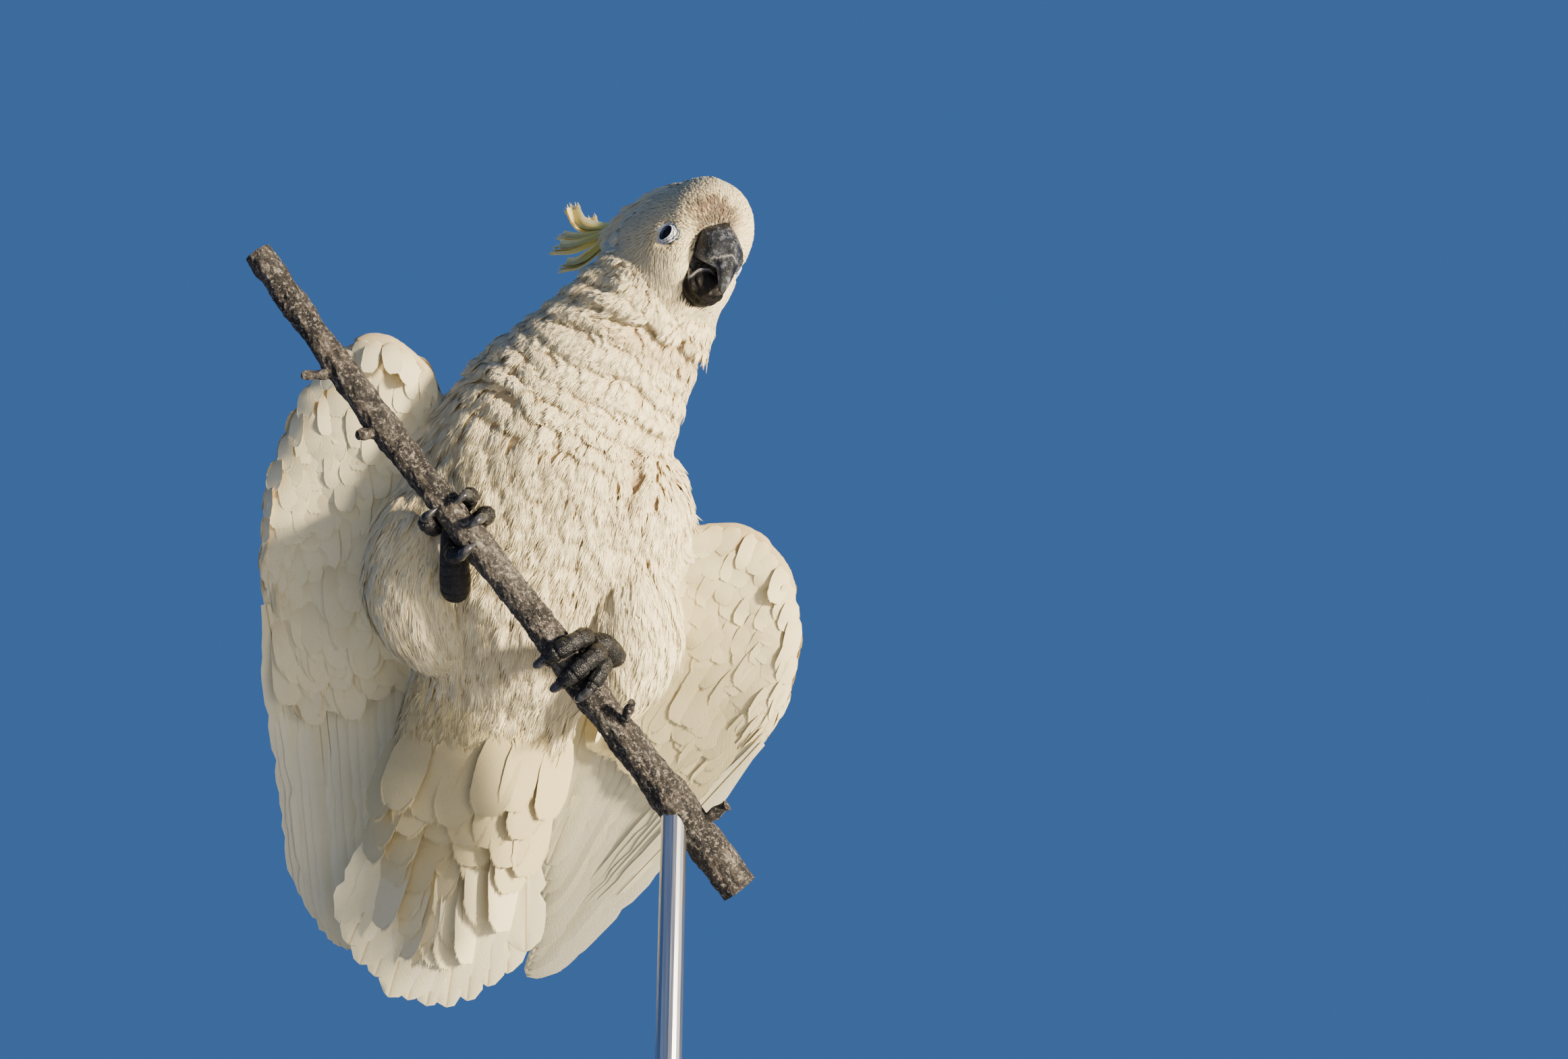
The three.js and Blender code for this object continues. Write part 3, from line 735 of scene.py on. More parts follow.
def dark_horn_look():
    """The lower bill: nearly black, with painted shade darkest in its scoop, and worn pale along its rim."""
    look = Look("lower_bill_horn")
    fine = look.noise(1300, detail=4, roughness=0.7)
    marks = look.markings()
    colour = look.ramp(
        look.noise(200, detail=7, roughness=0.75, stretch=(1.6, 1.6, 0.5)),
        (0.42, (0.0015, 0.0012, 0.001)), (0.56, (0.008, 0.0065, 0.005)), (0.68, (0.07, 0.058, 0.045)))
    # Painted shade: near black inside the scoop.
    colour = look.mix(look.channel(marks, 1), colour, (0.0015, 0.001, 0.001))
    colour = look.mix(look.channel(marks) * fine.between(0.2, 0.5) * 0.9, colour, (0.66, 0.63, 0.57))
    height = look.noise(180, detail=6, roughness=0.7, stretch=(3, 1, 1)) + fine * 0.5
    return look.finish(
        Base_Color=colour, Roughness=0.6, Specular_IOR_Level=0.2, Normal=look.bump(height, 0.0008, 0.8))


def lid_look():
    look = Look("eye_ring_skin")
    tone = look.channel(look.markings()) + look.noise(900, detail=3) * 0.3 - 0.15
    colour = look.ramp(
        tone, (0.0, (0.01, 0.01, 0.012)), (0.3, (0.2, 0.22, 0.26)), (0.75, (0.66, 0.69, 0.73)))
    pores = look.noise(1800, detail=3)
    return look.finish(Base_Color=colour, Roughness=0.5, Normal=look.bump(pores, 0.0002, 0.7))


def eye_look():
    look = Look("eye_dark")
    colour = look.ramp(look.noise(300), (0.4, (0.003, 0.0015, 0.0015)), (0.7, (0.016, 0.004, 0.002)))
    return look.finish(Base_Color=colour, Roughness=0.1, Specular_IOR_Level=0.3)


def foot_look():
    """Black scaly skin with a little dust."""
    look = Look("foot_scales")
    cells = look.node("ShaderNodeTexVoronoi", {"feature": "DISTANCE_TO_EDGE"}, Vector=look.object, Scale=950)
    beads = cells.between(0.0, 0.3)
    fine = look.noise(900, detail=4)
    dust = look.noise(130, detail=5, roughness=0.65).between(0.52, 0.68)
    colour = look.ramp(look.noise(260, detail=5), (0.35, (0.003, 0.003, 0.0035)), (0.7, (0.018, 0.018, 0.02)))
    colour = look.mix(beads, (0.004, 0.004, 0.004), colour)
    colour = look.mix(dust * 0.2, colour, (0.09, 0.085, 0.08))
    return look.finish(
        Base_Color=colour, Roughness=0.34 + fine * 0.2, Specular_IOR_Level=0.35,
        Normal=look.bump(beads + fine * 0.2, 0.0003, 0.6))


def claw_look():
    look = Look("claw_horn")
    streaks = look.noise(420, detail=4, stretch=(1, 1, 0.4))
    colour = look.ramp(streaks, (0.35, (0.008, 0.008, 0.009)), (0.75, (0.07, 0.07, 0.075)))
    return look.finish(Base_Color=colour, Roughness=0.26, Normal=look.bump(streaks, 0.0003, 0.5))


def bark_look():
    """Furrowed bark whose grain runs along the perch, with lichen and specks."""
    look = Look("bark")
    turned = (LEAN, -0.66, 0)
    along = look.node("ShaderNodeMapping", {"vector_type": "TEXTURE"}, look.object, (0, 0, 0), turned)
    grain = look.noise(260, detail=8, roughness=0.7, vector=along, stretch=(1, 1, 0.32))
    ridges = look.noise(110, detail=6, roughness=0.62, vector=along, stretch=(1, 1, 0.4))
    pits = look.noise(420, detail=5, roughness=0.7)
    broad = look.noise(30, detail=4)
    lichen = look.noise(85, detail=6, roughness=0.7).between(0.55, 0.66)
    specks = look.noise(560, detail=6, roughness=0.8)
    colour = look.ramp(
        grain, (0.38, (0.003, 0.002, 0.002)), (0.5, (0.018, 0.014, 0.011)), (0.62, (0.1, 0.08, 0.062)),
        (0.74, (0.26, 0.22, 0.18)))
    colour = look.mix(broad.between(0.46, 0.64) * 0.35, colour, (0.12, 0.105, 0.09))
    colour = look.mix(lichen * grain.between(0.4, 0.6) * 0.5, colour, (0.34, 0.32, 0.28))
    colour = look.mix(ridges.between(0.46, 0.38) * 0.75, colour, (0.01, 0.007, 0.006))
    colour = look.mix(specks.between(0.54, 0.6) * 0.6, colour, (0.4, 0.36, 0.3))
    colour = look.mix(specks.between(0.46, 0.4) * 0.8, colour, (0.006, 0.004, 0.004))
    height = ridges * 1.1 + grain * 0.7 + pits * 0.35
    return look.finish(Base_Color=colour, Roughness=0.86, Normal=look.bump(height, 0.0026))


def sawn_look():
    look = Look("sawn_wood")
    colour = look.ramp(look.noise(240, detail=5), (0.3, (0.3, 0.21, 0.12)), (0.7, (0.55, 0.43, 0.29)))
    fibres = look.noise(500, detail=5)
    return look.finish(Base_Color=colour, Roughness=0.8, Normal=look.bump(fibres, 0.0004, 0.6))


def stand_wood_look():
    look = Look("stand_wood")
    grain = look.noise(34, detail=6, roughness=0.62, stretch=(0.12, 1.7, 1))
    pores = look.noise(420, detail=3, stretch=(0.06, 1, 1))
    colour = look.ramp(
        grain, (0.3, (0.018, 0.01, 0.006)), (0.55, (0.05, 0.029, 0.018)), (0.75, (0.1, 0.062, 0.038)))
    colour = look.mix(pores.between(0.62, 0.7) * 0.6, colour, (0.01, 0.006, 0.004))
    return look.finish(
        Base_Color=colour, Roughness=0.34 + grain * 0.2, Normal=look.bump(pores, 0.0002, 0.35),
        Coat_Weight=0.25)


def steel_look():
    look = Look("stand_steel")
    brushed = look.noise(900, detail=3, stretch=(1, 1, 0.02))
    colour = look.ramp(brushed, (0.3, (0.42, 0.42, 0.43)), (0.7, (0.6, 0.6, 0.61)))
    return look.finish(
        Base_Color=colour, Metallic=1.0, Roughness=0.26 + brushed * 0.16,
        Normal=look.bump(brushed, 0.0001, 0.25))


# ---------------------------------------------------------------- skin


def flesh_forms():
    """The flesh forms, each a coat's depth inside the body's outside."""
    yield "body", 64, 64, limb_shape(**BODY, side=X_AXIS, swell=-COAT_DEPTH)
    yield "head", 48, 48, head_shape(SKULL, swell=-FACE_COAT)
    yield "tail", 40, 40, limb_shape(**TAIL_COVERTS, side=X_AXIS, swell=-TAIL_COAT)
    for side, thigh in THIGHS.items():
        yield f"thigh_{side}", 40, 40, limb_shape(**thigh, side=X_AXIS, swell=-COAT_DEPTH)
    for side, wing in WINGS.items():
        shape = between_shape(wing["lead"], wing["covers"], wing["arm_half"], swell=-WING_COAT)
        yield f"wing_{side}", 40, 48, shape


def build_skin():
    """One closed skin fused from the flesh forms, and a search tree over each form."""
    forms = {name: ball(f"{name}_form", *shape) for name, *shape in flesh_forms()}
    trees = {name: tree_of(form) for name, form in forms.items()}
    skin = joined(list(forms.values()), "skin")
    apply_modifier(skin, "REMESH", mode="VOXEL", voxel_size=SKIN_VOXEL, use_smooth_shade=True)
    apply_modifier(skin, "SMOOTH", factor=0.6, iterations=8)
    normals = values_of(skin.data.vertices, "normal", 3)
    co = laid(verts_of(skin))
    normals = laid(stood(co) + normals * MM) - co
    move_verts(skin, stood(co + normals * folds(co)[:, None]))
    with editing(skin):
        bpy.ops.uv.smart_project(angle_limit=math.radians(66), island_margin=0.004)
    skin.data.uv_layers[0].name = BAKE
    return skin, trees


LEDGE = 11.0  # how far apart the ruffled rows are
PARTING = np.array((52.0, -50.0, 38.0))


def ledges(co):
    """How far along its row each place is, from 0 to 1, and how ruffled the neck and breast are there."""
    t = Curve(BODY["spine"]).place_of(co, 400)
    run = (1 - t) * 250 + 6 * waves(co, 75, 31) + 2.5 * waves(co, 26, 32)
    neck = smooth((t - 0.48) / 0.1) * smooth((0.93 - t) / 0.05)
    breast = smooth((t - 0.1) / 0.15) * smooth((0.6 - t) / 0.1)
    return (run / LEDGE) % 1, neck, breast


def bib_edge(co):
    """How far places are above the bib's lower edge, where the cheek feathers overhang the neck."""
    f, u, r = of_head(co)
    return u + 46 - 0.02 * (f - 2) ** 2 + 1.2 * np.sin(r / 3.0)


def beside_head(r):
    """1 on the sides of the head and 0 near its middle."""
    return smooth((np.abs(r) - 8) / 8)


def cleft(co):
    """How deep places are in the parting between the breast's feathers, from 0 to 1."""
    off = co - PARTING
    slant = off[:, 0] - 0.25 * off[:, 2] + 2.5 * np.sin(off[:, 2] / 5)
    return np.exp(-((slant / 5.5) ** 2 + (off[:, 1] / 40) ** 2 + (off[:, 2] / 20) ** 4))


def folds(co):
    """How far the rows, the parting, the sockets and the face's own forms lift or sink the skin."""
    f, u, r = of_head(co)
    row, neck, breast = ledges(co)
    ledge = row**1.2 * smooth((1 - row) * 10) - 0.4
    lift = ledge * (3.0 * neck * (0.8 + 0.4 * waves(co, 55, 33)) + 1.2 * breast)
    lift += (0.35 * neck + 0.8 * breast) * waves(co, 24, 34)
    lift -= 7.0 * cleft(co)
    for sign in (-1, 1):
        lift -= 0.8 * smooth((11 - np.linalg.norm(co - eye_place(sign), axis=1)) / 5)
    lift -= 4.5 * smooth((5.6 - socket_away(co)) / 1.2) * near_head(co, 60)
    lift -= 2.8 * spot(f - 12, u + 8, 18, 17) * smooth((-r - 9) / 7) * near_head(co, 60)
    cheek = spot(f - 3, u + 20, 13, 12) * beside_head(r)
    hollow = spot(f + 20, u + 24, 8, 6) * beside_head(r)
    edge = bib_edge(co)
    bib = np.where(edge > 0, 2.4 * smooth((13 - edge) / 13), -2.4 * smooth((edge + 9) / 7))
    bib = bib * smooth((f + 26) / 8)
    from_bill = np.linalg.norm(np.stack([f - 30, u + 14, r], -1), axis=1)
    quiet = smooth((from_bill - 22) / 14) * smooth((socket_away(co) - 6) / 6)
    ruffled = 0.6 * waves(co, 13, 36) * quiet * smooth((u + 46) / 10)
    ruffled *= 0.45 + 0.55 * smooth((-u - 4) / 10)
    return lift + (1.6 * cheek - 2.2 * hollow + bib + ruffled) * near_head(co, 66)


class Lie:
    """The skin read as places to grow feathers on: normals, the lie of the coat and which form it is."""

    def __init__(self, skin, trees):
        mesh = skin.data
        mesh.calc_loop_triangles()
        self.co = laid(verts_of(skin))
        self.tri = values_of(mesh.loop_triangles, "vertices", 3, np.int32)
        loops = values_of(mesh.loop_triangles, "loops", 3, np.int32)
        self.tri_uv = values_of(mesh.uv_layers[BAKE].uv, "vector", 2)[loops]
        a, b, c = (self.co[self.tri[:, k]] for k in range(3))
        crossed = np.cross(b - a, c - a)
        self.area = np.linalg.norm(crossed, axis=1) / 2
        self.normal = np.zeros_like(self.co)
        for k in range(3):
            np.add.at(self.normal, self.tri[:, k], crossed)
        self.normal = unit(self.normal)
        self.names = list(trees)
        away = [[tree.find_nearest(p)[3] for p in self.co.tolist()] for tree in trees.values()]
        self.form = np.array(away).argmin(0)
        self.flow = self._flow()
        self.tree = BVHTree.FromPolygons(self.co.tolist(), self.tri.tolist())
        self.tri_normal = unit(self.normal[self.tri].sum(1))
        self.tri_flow = unit(self.flow[self.tri].sum(1))

    def is_form(self, name):
        return self.form == self.names.index(name)

    def _flow(self):
        """Which way the coat lies: from bill to tail, down the legs, and across the wings."""
        flow = np.zeros_like(self.co)
        lines = {"body": (BODY, -1), "tail": (TAIL_COVERTS, 1)}
        lines.update({f"thigh_{side}": (thigh, 1) for side, thigh in THIGHS.items()})
        for name, (form, sign) in lines.items():
            mask = self.is_form(name)
            line = Curve(form["spine"])
            flow[mask] = sign * line.along(line.place_of(self.co[mask]))
        mask = self.is_form("head")
        f, u, _ = of_head(self.co)
        behind = smooth((28 - f[mask]) / 12)[:, None]
        from_brow = unit(self.co[mask] - in_head(35, -12))
        flow[mask] = unit(from_brow - behind * (0.6 * FORWARD + 0.2 * CROWNWARD))
        cheek = (mask * smooth((f + 6) / 14) * smooth((-u - 4) / 10))[:, None]
        flow = unit(flow * (1 - cheek) + cheek * unit(-CROWNWARD - 0.05 * FORWARD))
        for side, wing in WINGS.items():
            mask = self.is_form(f"wing_{side}")
            lead, covers, tips = (Curve(wing[line]) for line in ("lead", "covers", "tips"))
            t = Curve((np.array(wing["lead"]) + wing["covers"]) / 2).place_of(self.co[mask])
            back, out = unit(covers.at(t) - lead.at(t)), unit(tips.at(t) - covers.at(t))
            flow[mask] = unit(back + 0.9 * out)
        edges = np.vstack([self.tri[:, [0, 1]], self.tri[:, [1, 2]], self.tri[:, [2, 0]]])
        for _ in range(14):
            spread = flow.copy()
            np.add.at(spread, edges[:, 0], flow[edges[:, 1]])
            np.add.at(spread, edges[:, 1], flow[edges[:, 0]])
            flow = unit(square_to(spread, self.normal))
        return flow

    def scatter(self, spacing, wanted):
        """Evenly scattered roots where wanted, each at least its spacing from those before it."""
        spacing_tri = spacing[self.tri].mean(1)
        chance = np.where(wanted[self.tri].all(1), self.area / spacing_tri**2, 0)
        total = int(chance.sum() * 4.5)
        picked = rng.choice(len(self.tri), total, p=chance / chance.sum())
        w = rng.dirichlet((1, 1, 1), total)
        places = (self.co[self.tri[picked]] * w[:, :, None]).sum(1)
        cells = np.floor(places / spacing_tri[picked].max()).astype(int).tolist()
        reach2 = (spacing_tri[picked] ** 2).tolist()
        around = [(i, j, k) for i in (-1, 0, 1) for j in (-1, 0, 1) for k in (-1, 0, 1)]
        taken, kept = {}, []
        for n, ((kx, ky, kz), (x, y, z), r2) in enumerate(zip(cells, places.tolist(), reach2)):
            if all((x - a) ** 2 + (y - b) ** 2 + (z - c) ** 2 > r2
                   for i, j, k in around for a, b, c in taken.get((kx + i, ky + j, kz + k), ())):
                taken.setdefault((kx, ky, kz), []).append((x, y, z))
                kept.append(n)
        kept = np.array(kept)
        return Roots(self, picked[kept], w[kept])

    def nearest(self, points):
        """Roots at the skin's nearest places to points."""
        found = [self.tree.find_nearest(p) for p in np.asarray(points).tolist()]
        tri = np.array([hit[2] for hit in found])
        a, b, c = (self.co[self.tri[tri, k]] for k in range(3))
        p = np.array([tuple(hit[0]) for hit in found])
        corners = ((c - b, p - b), (a - c, p - c), (b - a, p - a))
        w = np.stack([np.linalg.norm(np.cross(*pair), axis=1) for pair in corners], 1)
        full = np.maximum(np.linalg.norm(np.cross(b - a, c - a), axis=1), 1e-9)
        w = w / full[:, None]
        return Roots(self, tri, w / w.sum(1, keepdims=True))


class Roots:
    """Where feathers grow: their places, normals, flow, and places on the skin's unwrap."""

    def __init__(self, lie, tri, w):
        def blend(corners):
            return (corners * w[:, :, None]).sum(1)

        self.lie, self.tri, self.w = lie, tri, w
        self.at = blend(lie.co[lie.tri[tri]])
        self.normal = unit(blend(lie.normal[lie.tri[tri]]))
        self.flow = unit(blend(lie.flow[lie.tri[tri]]))
        self.uv = blend(lie.tri_uv[tri])
        self.form = lie.form[lie.tri[tri, 0]]

    def __len__(self):
        return len(self.at)

    def only(self, mask):
        return Roots(self.lie, self.tri[mask], self.w[mask])

    def read(self, values):
        """One value for each root from values at the skin's vertices."""
        return (values[self.lie.tri[self.tri]] * self.w).sum(1)


# ---------------------------------------------------------------- feather shapes


class Plume:
    """A feather's closed forms, with places across (half widths), along (lengths) and up (half widths)."""

    def __init__(self):
        self.places, self.triangles = [], []

    def loft(self, rings, root=None, tip=None):
        """A closed form through rings of places, flat at an end that has no point."""
        first, count, start = len(self.places), len(rings[0]), len(self.triangles)
        for ring in rings:
            self.places += ring
        for r in range(len(rings) - 1):
            for k in range(count):
                a, b = first + r * count + k, first + r * count + (k + 1) % count
                self.triangles += [(a, b, b + count), (a, b + count, a + count)]
        last = first + (len(rings) - 1) * count
        for point, ring, turn in ((root, first, 1), (tip, last, -1)):
            if point is None:
                fans = [(ring, ring + k, ring + k + 1) for k in range(1, count - 1)]
            else:
                self.places.append(point)
                end = len(self.places) - 1
                fans = [(end, ring + k, ring + (k + 1) % count) for k in range(count)]
            self.triangles += [(a, c, b)[::turn] for a, b, c in fans]
        p, t = np.array(self.places), np.array(self.triangles[start:])
        if np.einsum("ij,ij->i", p[t[:, 0]], np.cross(p[t[:, 1]], p[t[:, 2]])).sum() < 0:
            self.triangles[start:] = [(a, c, b) for a, b, c in self.triangles[start:]]

    def done(self):
        self.places, self.triangles = np.array(self.places, float), np.array(self.triangles, int)
        return self


def soft_plume(aspect, fringe, barbs, spread, tip_at=0.8, start=0.42, cover=0.0):
    """A small soft feather: a thin vane whose end breaks into fine barbs, which may also lie over it."""
    plume = Plume()
    dome = 0.1

    def half_at(v):
        return float(smooth(v / 0.35) ** 0.7 * (1 - 0.5 * smooth((v - 0.55) / 0.4)))

    rings = []
    for v in (0.12, 0.34, 0.56, tip_at - 0.06):
        half = 0.92 * half_at(v)
        rings.append([(-half, v, -0.02), (0, v, dome * (1.2 - v)), (half, v, -0.02)])
    plume.loft(rings, root=(0, 0, 0), tip=(0, tip_at + 0.05, -0.02))
    over = 0.7 * dome * cover
    for k in range(barbs):
        side = -1 if k % 2 else 1
        place = (k + 0.5 + rng.uniform(-0.35, 0.35)) / barbs
        v = start + (tip_at - start) * place
        half = 0.9 * half_at(v) * side * (1 - 0.9 * max(place - 0.55, 0) / 0.45)
        half *= 1 - cover * rng.uniform(0, 1)
        lean = math.radians(spread * (1.15 - 0.9 * place) + rng.uniform(-6, 6)) * side
        reach = fringe * rng.uniform(0.7, 1.2)
        du, dv = math.sin(lean) * reach / aspect, math.cos(lean) * reach
        base = 0.1 * rng.uniform(0.8, 1.2)
        foot = [(half - base, v, over), (half, v - 0.02, dome * 0.7 + over), (half + base, v, over)]
        plume.loft([foot], tip=(half + du, v + dv, rng.uniform(-0.05, 0.08) + 1.2 * over))
    return plume.done()


def strand_plume(aspect, strands, spread, thick):
    """A loose feather: fine strands that part from one root."""
    plume = Plume()
    for k in range(strands):
        share = (k + 0.5) / strands * 2 - 1
        lean = math.radians(spread * share + rng.uniform(-4, 4))
        reach = rng.uniform(0.72, 1.0) * (1 - 0.2 * abs(share))
        base = thick * rng.uniform(0.8, 1.25)
        wave = rng.uniform(-0.12, 0.12)
        run = math.sin(lean) * reach
        rings = []
        for s, size in ((0.0, 0.7), (0.45, 1.0)):
            u = run * s**1.25 / aspect + wave * s * (1 - s) * 4
            v, w = reach * s, rng.uniform(-0.05, 0.1) * s
            rings.append([(u - base * size, v, w), (u, v, w + base * size * 1.1), (u + base * size, v, w)])
        plume.loft(rings, tip=(run / aspect, reach, rng.uniform(-0.05, 0.1)))
    return plume.done()


def covert_plume():
    """A broad smooth covert whose rounded end is fringed with short fine barbs."""
    plume = Plume()
    barbs, fringe_from, fringe_run = 44, 0.72, 0.26

    def half_at(v):
        rounding = math.sqrt(max(1 - (max(v - 0.6, 0) / 0.4) ** 2.2, 0.0))
        return float(smooth((v + 0.1) / 0.45)) ** 0.6 * rounding

    rings = []
    for v in (0.03, 0.2, 0.4, 0.58, 0.72, 0.83, 0.9, 0.95, 0.98):
        half = half_at(v)
        rings.append([(s * half, v, 0.09 * (1 - s * s) * (1.1 - v)) for s in np.linspace(-1, 1, 7)])
    plume.loft(rings, root=(0, 0, 0), tip=(0, 0.995, 0))
    for k in range(barbs):
        side = -1 if k % 2 else 1
        v = fringe_from + fringe_run * ((k + rng.uniform(0, 1)) / barbs) ** 0.7
        u = half_at(min(v, 0.985)) * side * 0.97
        lean = math.radians(22 * (1 - (v - fringe_from) / fringe_run) + rng.uniform(-5, 5)) * side
        reach = rng.uniform(0.03, 0.07)
        plume.loft([[(u - 0.035, v - 0.012, 0.0), (u, v, 0.02), (u + 0.035, v - 0.012, 0.0)]],
                   tip=(u + math.sin(lean) * reach / 0.2, v + math.cos(lean) * reach, 0.0))
    return plume.done()


def curled_plume(seed):
    """A thick crest feather with its edges rolled up, ending bluntly in a few ragged points."""
    cut_rng = np.random.default_rng(seed)
    plume = Plume()
    rings = []
    for v in np.linspace(0.01, 0.93, 18):
        half = 0.5 + 0.5 * float(smooth(v / 0.5))
        half *= 1 - 0.12 * cut_rng.uniform(0, 1) ** 3
        roll = 0.85 * (1 - 0.4 * v)
        top = [(s * half, v, roll * half * s * s + 0.05) for s in np.linspace(-1, 1, 7)]
        under = [(s * half * 0.94, v, roll * half * s * s - 0.05) for s in np.linspace(1, -1, 5)]
        rings.append(top + under)
    plume.loft(rings, root=(0, -0.002, 0), tip=(0, 0.935, 0.05))
    for u in np.linspace(-0.86, 0.86, 9) + cut_rng.uniform(-0.08, 0.08, 9):
        reach, w = cut_rng.uniform(0.03, 0.13), 0.33 * u * u
        plume.loft([[(u - 0.17, 0.91, w - 0.04), (u, 0.91, w + 0.07), (u + 0.17, 0.91, w - 0.04)]],
                   tip=(u + cut_rng.uniform(-0.1, 0.1), 0.93 + reach, w + cut_rng.uniform(-0.1, 0.1)))
    return plume.done()


def quill_plume(wear, uneven, seed, blunt=0.88):
    """A long flight or tail feather: two webs either side of a raised shaft, with a worn tip."""
    plume = Plume()
    rings = []
    stations, columns, shaft = 26, 3, 0.035
    nicks = np.random.default_rng(seed).uniform(0, 1, (stations + 2, 2)) ** 5 * wear
    for i in range(stations):
        v = 0.004 + 0.985 * (i / (stations - 1)) ** 0.92
        half = 0.32 + 0.68 * float(smooth(v / 0.3))
        if v > blunt:
            half *= math.sqrt(max(1 - ((v - blunt) / (1.0 - blunt)) ** 2.2, 0.03))
        ring = []
        for s in np.linspace(-1, 1, 2 * columns + 1):
            side = 0 if s < 0 else 1
            reach = s * half * (1 + uneven * (1 if s > 0 else -1))
            if abs(s) == 1:
                reach *= 1 - nicks[i, side] * (0.3 + 0.7 * v)
            ring.append((reach, v, 0.02 + 0.05 * (1 - abs(s))))
        ring[columns:columns + 1] = [(-shaft, v, 0.03), (0, v, 0.13 * (1.1 - v)), (shaft, v, 0.03)]
        ring += [(s * half * 0.6, v, -0.03) for s in (1, 0, -1)]
        rings.append(ring)
    plume.loft(rings, root=(0, -0.002, 0), tip=(0, 1, 0.01))
    return plume.done()


def weights(v, count, slope=False):
    """How much each of count even spine points adds to the place, or the direction, at v along it."""
    v = np.asarray(v, float) * (count - 1)
    i = np.clip(np.floor(v), 0, count - 2).astype(int)
    w = v - i
    if slope:
        basis = [(-1 + 4 * w - 3 * w**2) / 2, (-10 * w + 9 * w**2) / 2,
                 (1 + 8 * w - 9 * w**2) / 2, (-2 * w + 3 * w**2) / 2]
    else:
        basis = [(-w + 2 * w**2 - w**3) / 2, (2 - 5 * w**2 + 3 * w**3) / 2,
                 (w + 4 * w**2 - 3 * w**3) / 2, (-(w**2) + w**3) / 2]
    out = np.zeros((len(v), count))
    rows = np.arange(len(v))
    for k, share in enumerate(basis):
        at = i + k - 1
        past = (at < 0) | (at >= count)
        inward = np.where(at < 0, 1, np.where(at >= count, count - 2, 0))
        out[rows, np.clip(at, 0, count - 1)] += np.where(past, 2 * share, share)
        out[rows, inward] -= np.where(past, share, 0)
    return out


PATCH_WIDE, PATCH_LONG = 0.0007, 0.0022  # of a feather on the skin's unwrap
VANE_LENGTH = 40  # of feather for each unit of its own UV map


class Coat:
    """Feathers gathered into one piece."""

    def __init__(self, name):
        self.name, self.count = name, 0
        self.co, self.triangles, self.bake, self.vane, self.colour, self.above = [], [], [], [], [], []

    def add(self, plumes, spine, up, half, bake, colour, roll, fade=None, thick=1.0):
        """Set plumes, by turns, along spines, with up as their upper side and half widths half."""
        turns = rng.permutation(len(spine)) % len(plumes)
        for k, plume in enumerate(plumes):
            mask = turns == k
            if not mask.any():
                continue
            u, v, w = plume.places.T
            points = spine.shape[1]
            along = unit(np.einsum("vk,nkc->nvc", weights(v, points, True), spine[mask]))
            place = np.einsum("vk,nkc->nvc", weights(v, points), spine[mask])
            above = np.einsum("vk,nkc->nvc", weights(np.clip(v, 0, 1), points), up[mask])
            across = unit(np.cross(along, above))
            above = np.cross(across, along)
            tilt = roll[mask][:, None, None]
            side = across * np.cos(tilt) + above * np.sin(tilt)
            above = above * np.cos(tilt) - across * np.sin(tilt)
            size = half[mask][:, None, None]
            co = place + side * u[None, :, None] * size + above * w[None, :, None] * size * thick
            patch = np.stack([u * PATCH_WIDE, (v - 0.5) * PATCH_LONG], -1)
            reach = np.linalg.norm(np.diff(spine[mask], axis=1), axis=2).sum(1)[:, None] / VANE_LENGTH
            shade = colour[mask][:, None, :] * np.ones((1, len(u), 1))
            # A function that recolours each feather along its length: painted root shade for most coats, a deeper
            # yellow root for the crest.
            if fade:
                shade = fade(shade, v[None, :])
            rounded = np.broadcast_to(above + side * u[None, :, None] * 0.25, co.shape)
            self.co.append(co.reshape(-1, 3))
            self.above.append(rounded.reshape(-1, 3))
            self.bake.append((bake[mask][:, None, :] + patch).reshape(-1, 2))
            vane = np.stack([np.broadcast_to(u * 0.5 + 0.5, co.shape[:2]), v * reach], -1)
            self.vane.append(vane.reshape(-1, 2))
            self.colour.append(np.clip(shade, 0, 1).reshape(-1, 3))
            shift = self.count + np.arange(mask.sum())[:, None, None] * len(u)
            self.triangles.append((plume.triangles[None] + shift).reshape(-1, 3))
            self.count += mask.sum() * len(u)

    def add_one(self, plume, spine, up, half, bake, colour, roll, **rest):
        """Set a single feather."""
        one = [np.array([value]) for value in (spine, up, half, bake, colour, roll)]
        self.add([plume], *one, **rest)

    def finish(self, material, slot, *nodes, softness=0.0):
        """Join the feathers. A soft coat is shaded with normals drawn towards the lie of the coat."""
        co, triangles = stood(np.vstack(self.co)), np.vstack(self.triangles)
        uvs = {BAKE: np.vstack(self.bake), VANE: np.vstack(self.vane)}
        piece = mesh_piece(self.name, co, triangles, uvs, np.vstack(self.colour))
        if softness:
            own = values_of(piece.data.vertices, "normal", 3)[triangles]
            above = unit(stood(np.vstack(self.above)) - stood((0, 0, 0)))[triangles]
            a, b, c = (co[triangles[:, k]] for k in range(3))
            facing = np.sign((np.cross(b - a, c - a) * above.sum(1)).sum(1))[:, None, None]
            soft = unit(own * (1 - softness) + above * facing * softness)
            piece.data.normals_split_custom_set(soft.reshape(-1, 3).tolist())
        else:
            chosen(piece)
            bpy.ops.object.shade_smooth_by_angle(angle=math.radians(50))
        dressed(piece, material, slot, *nodes)


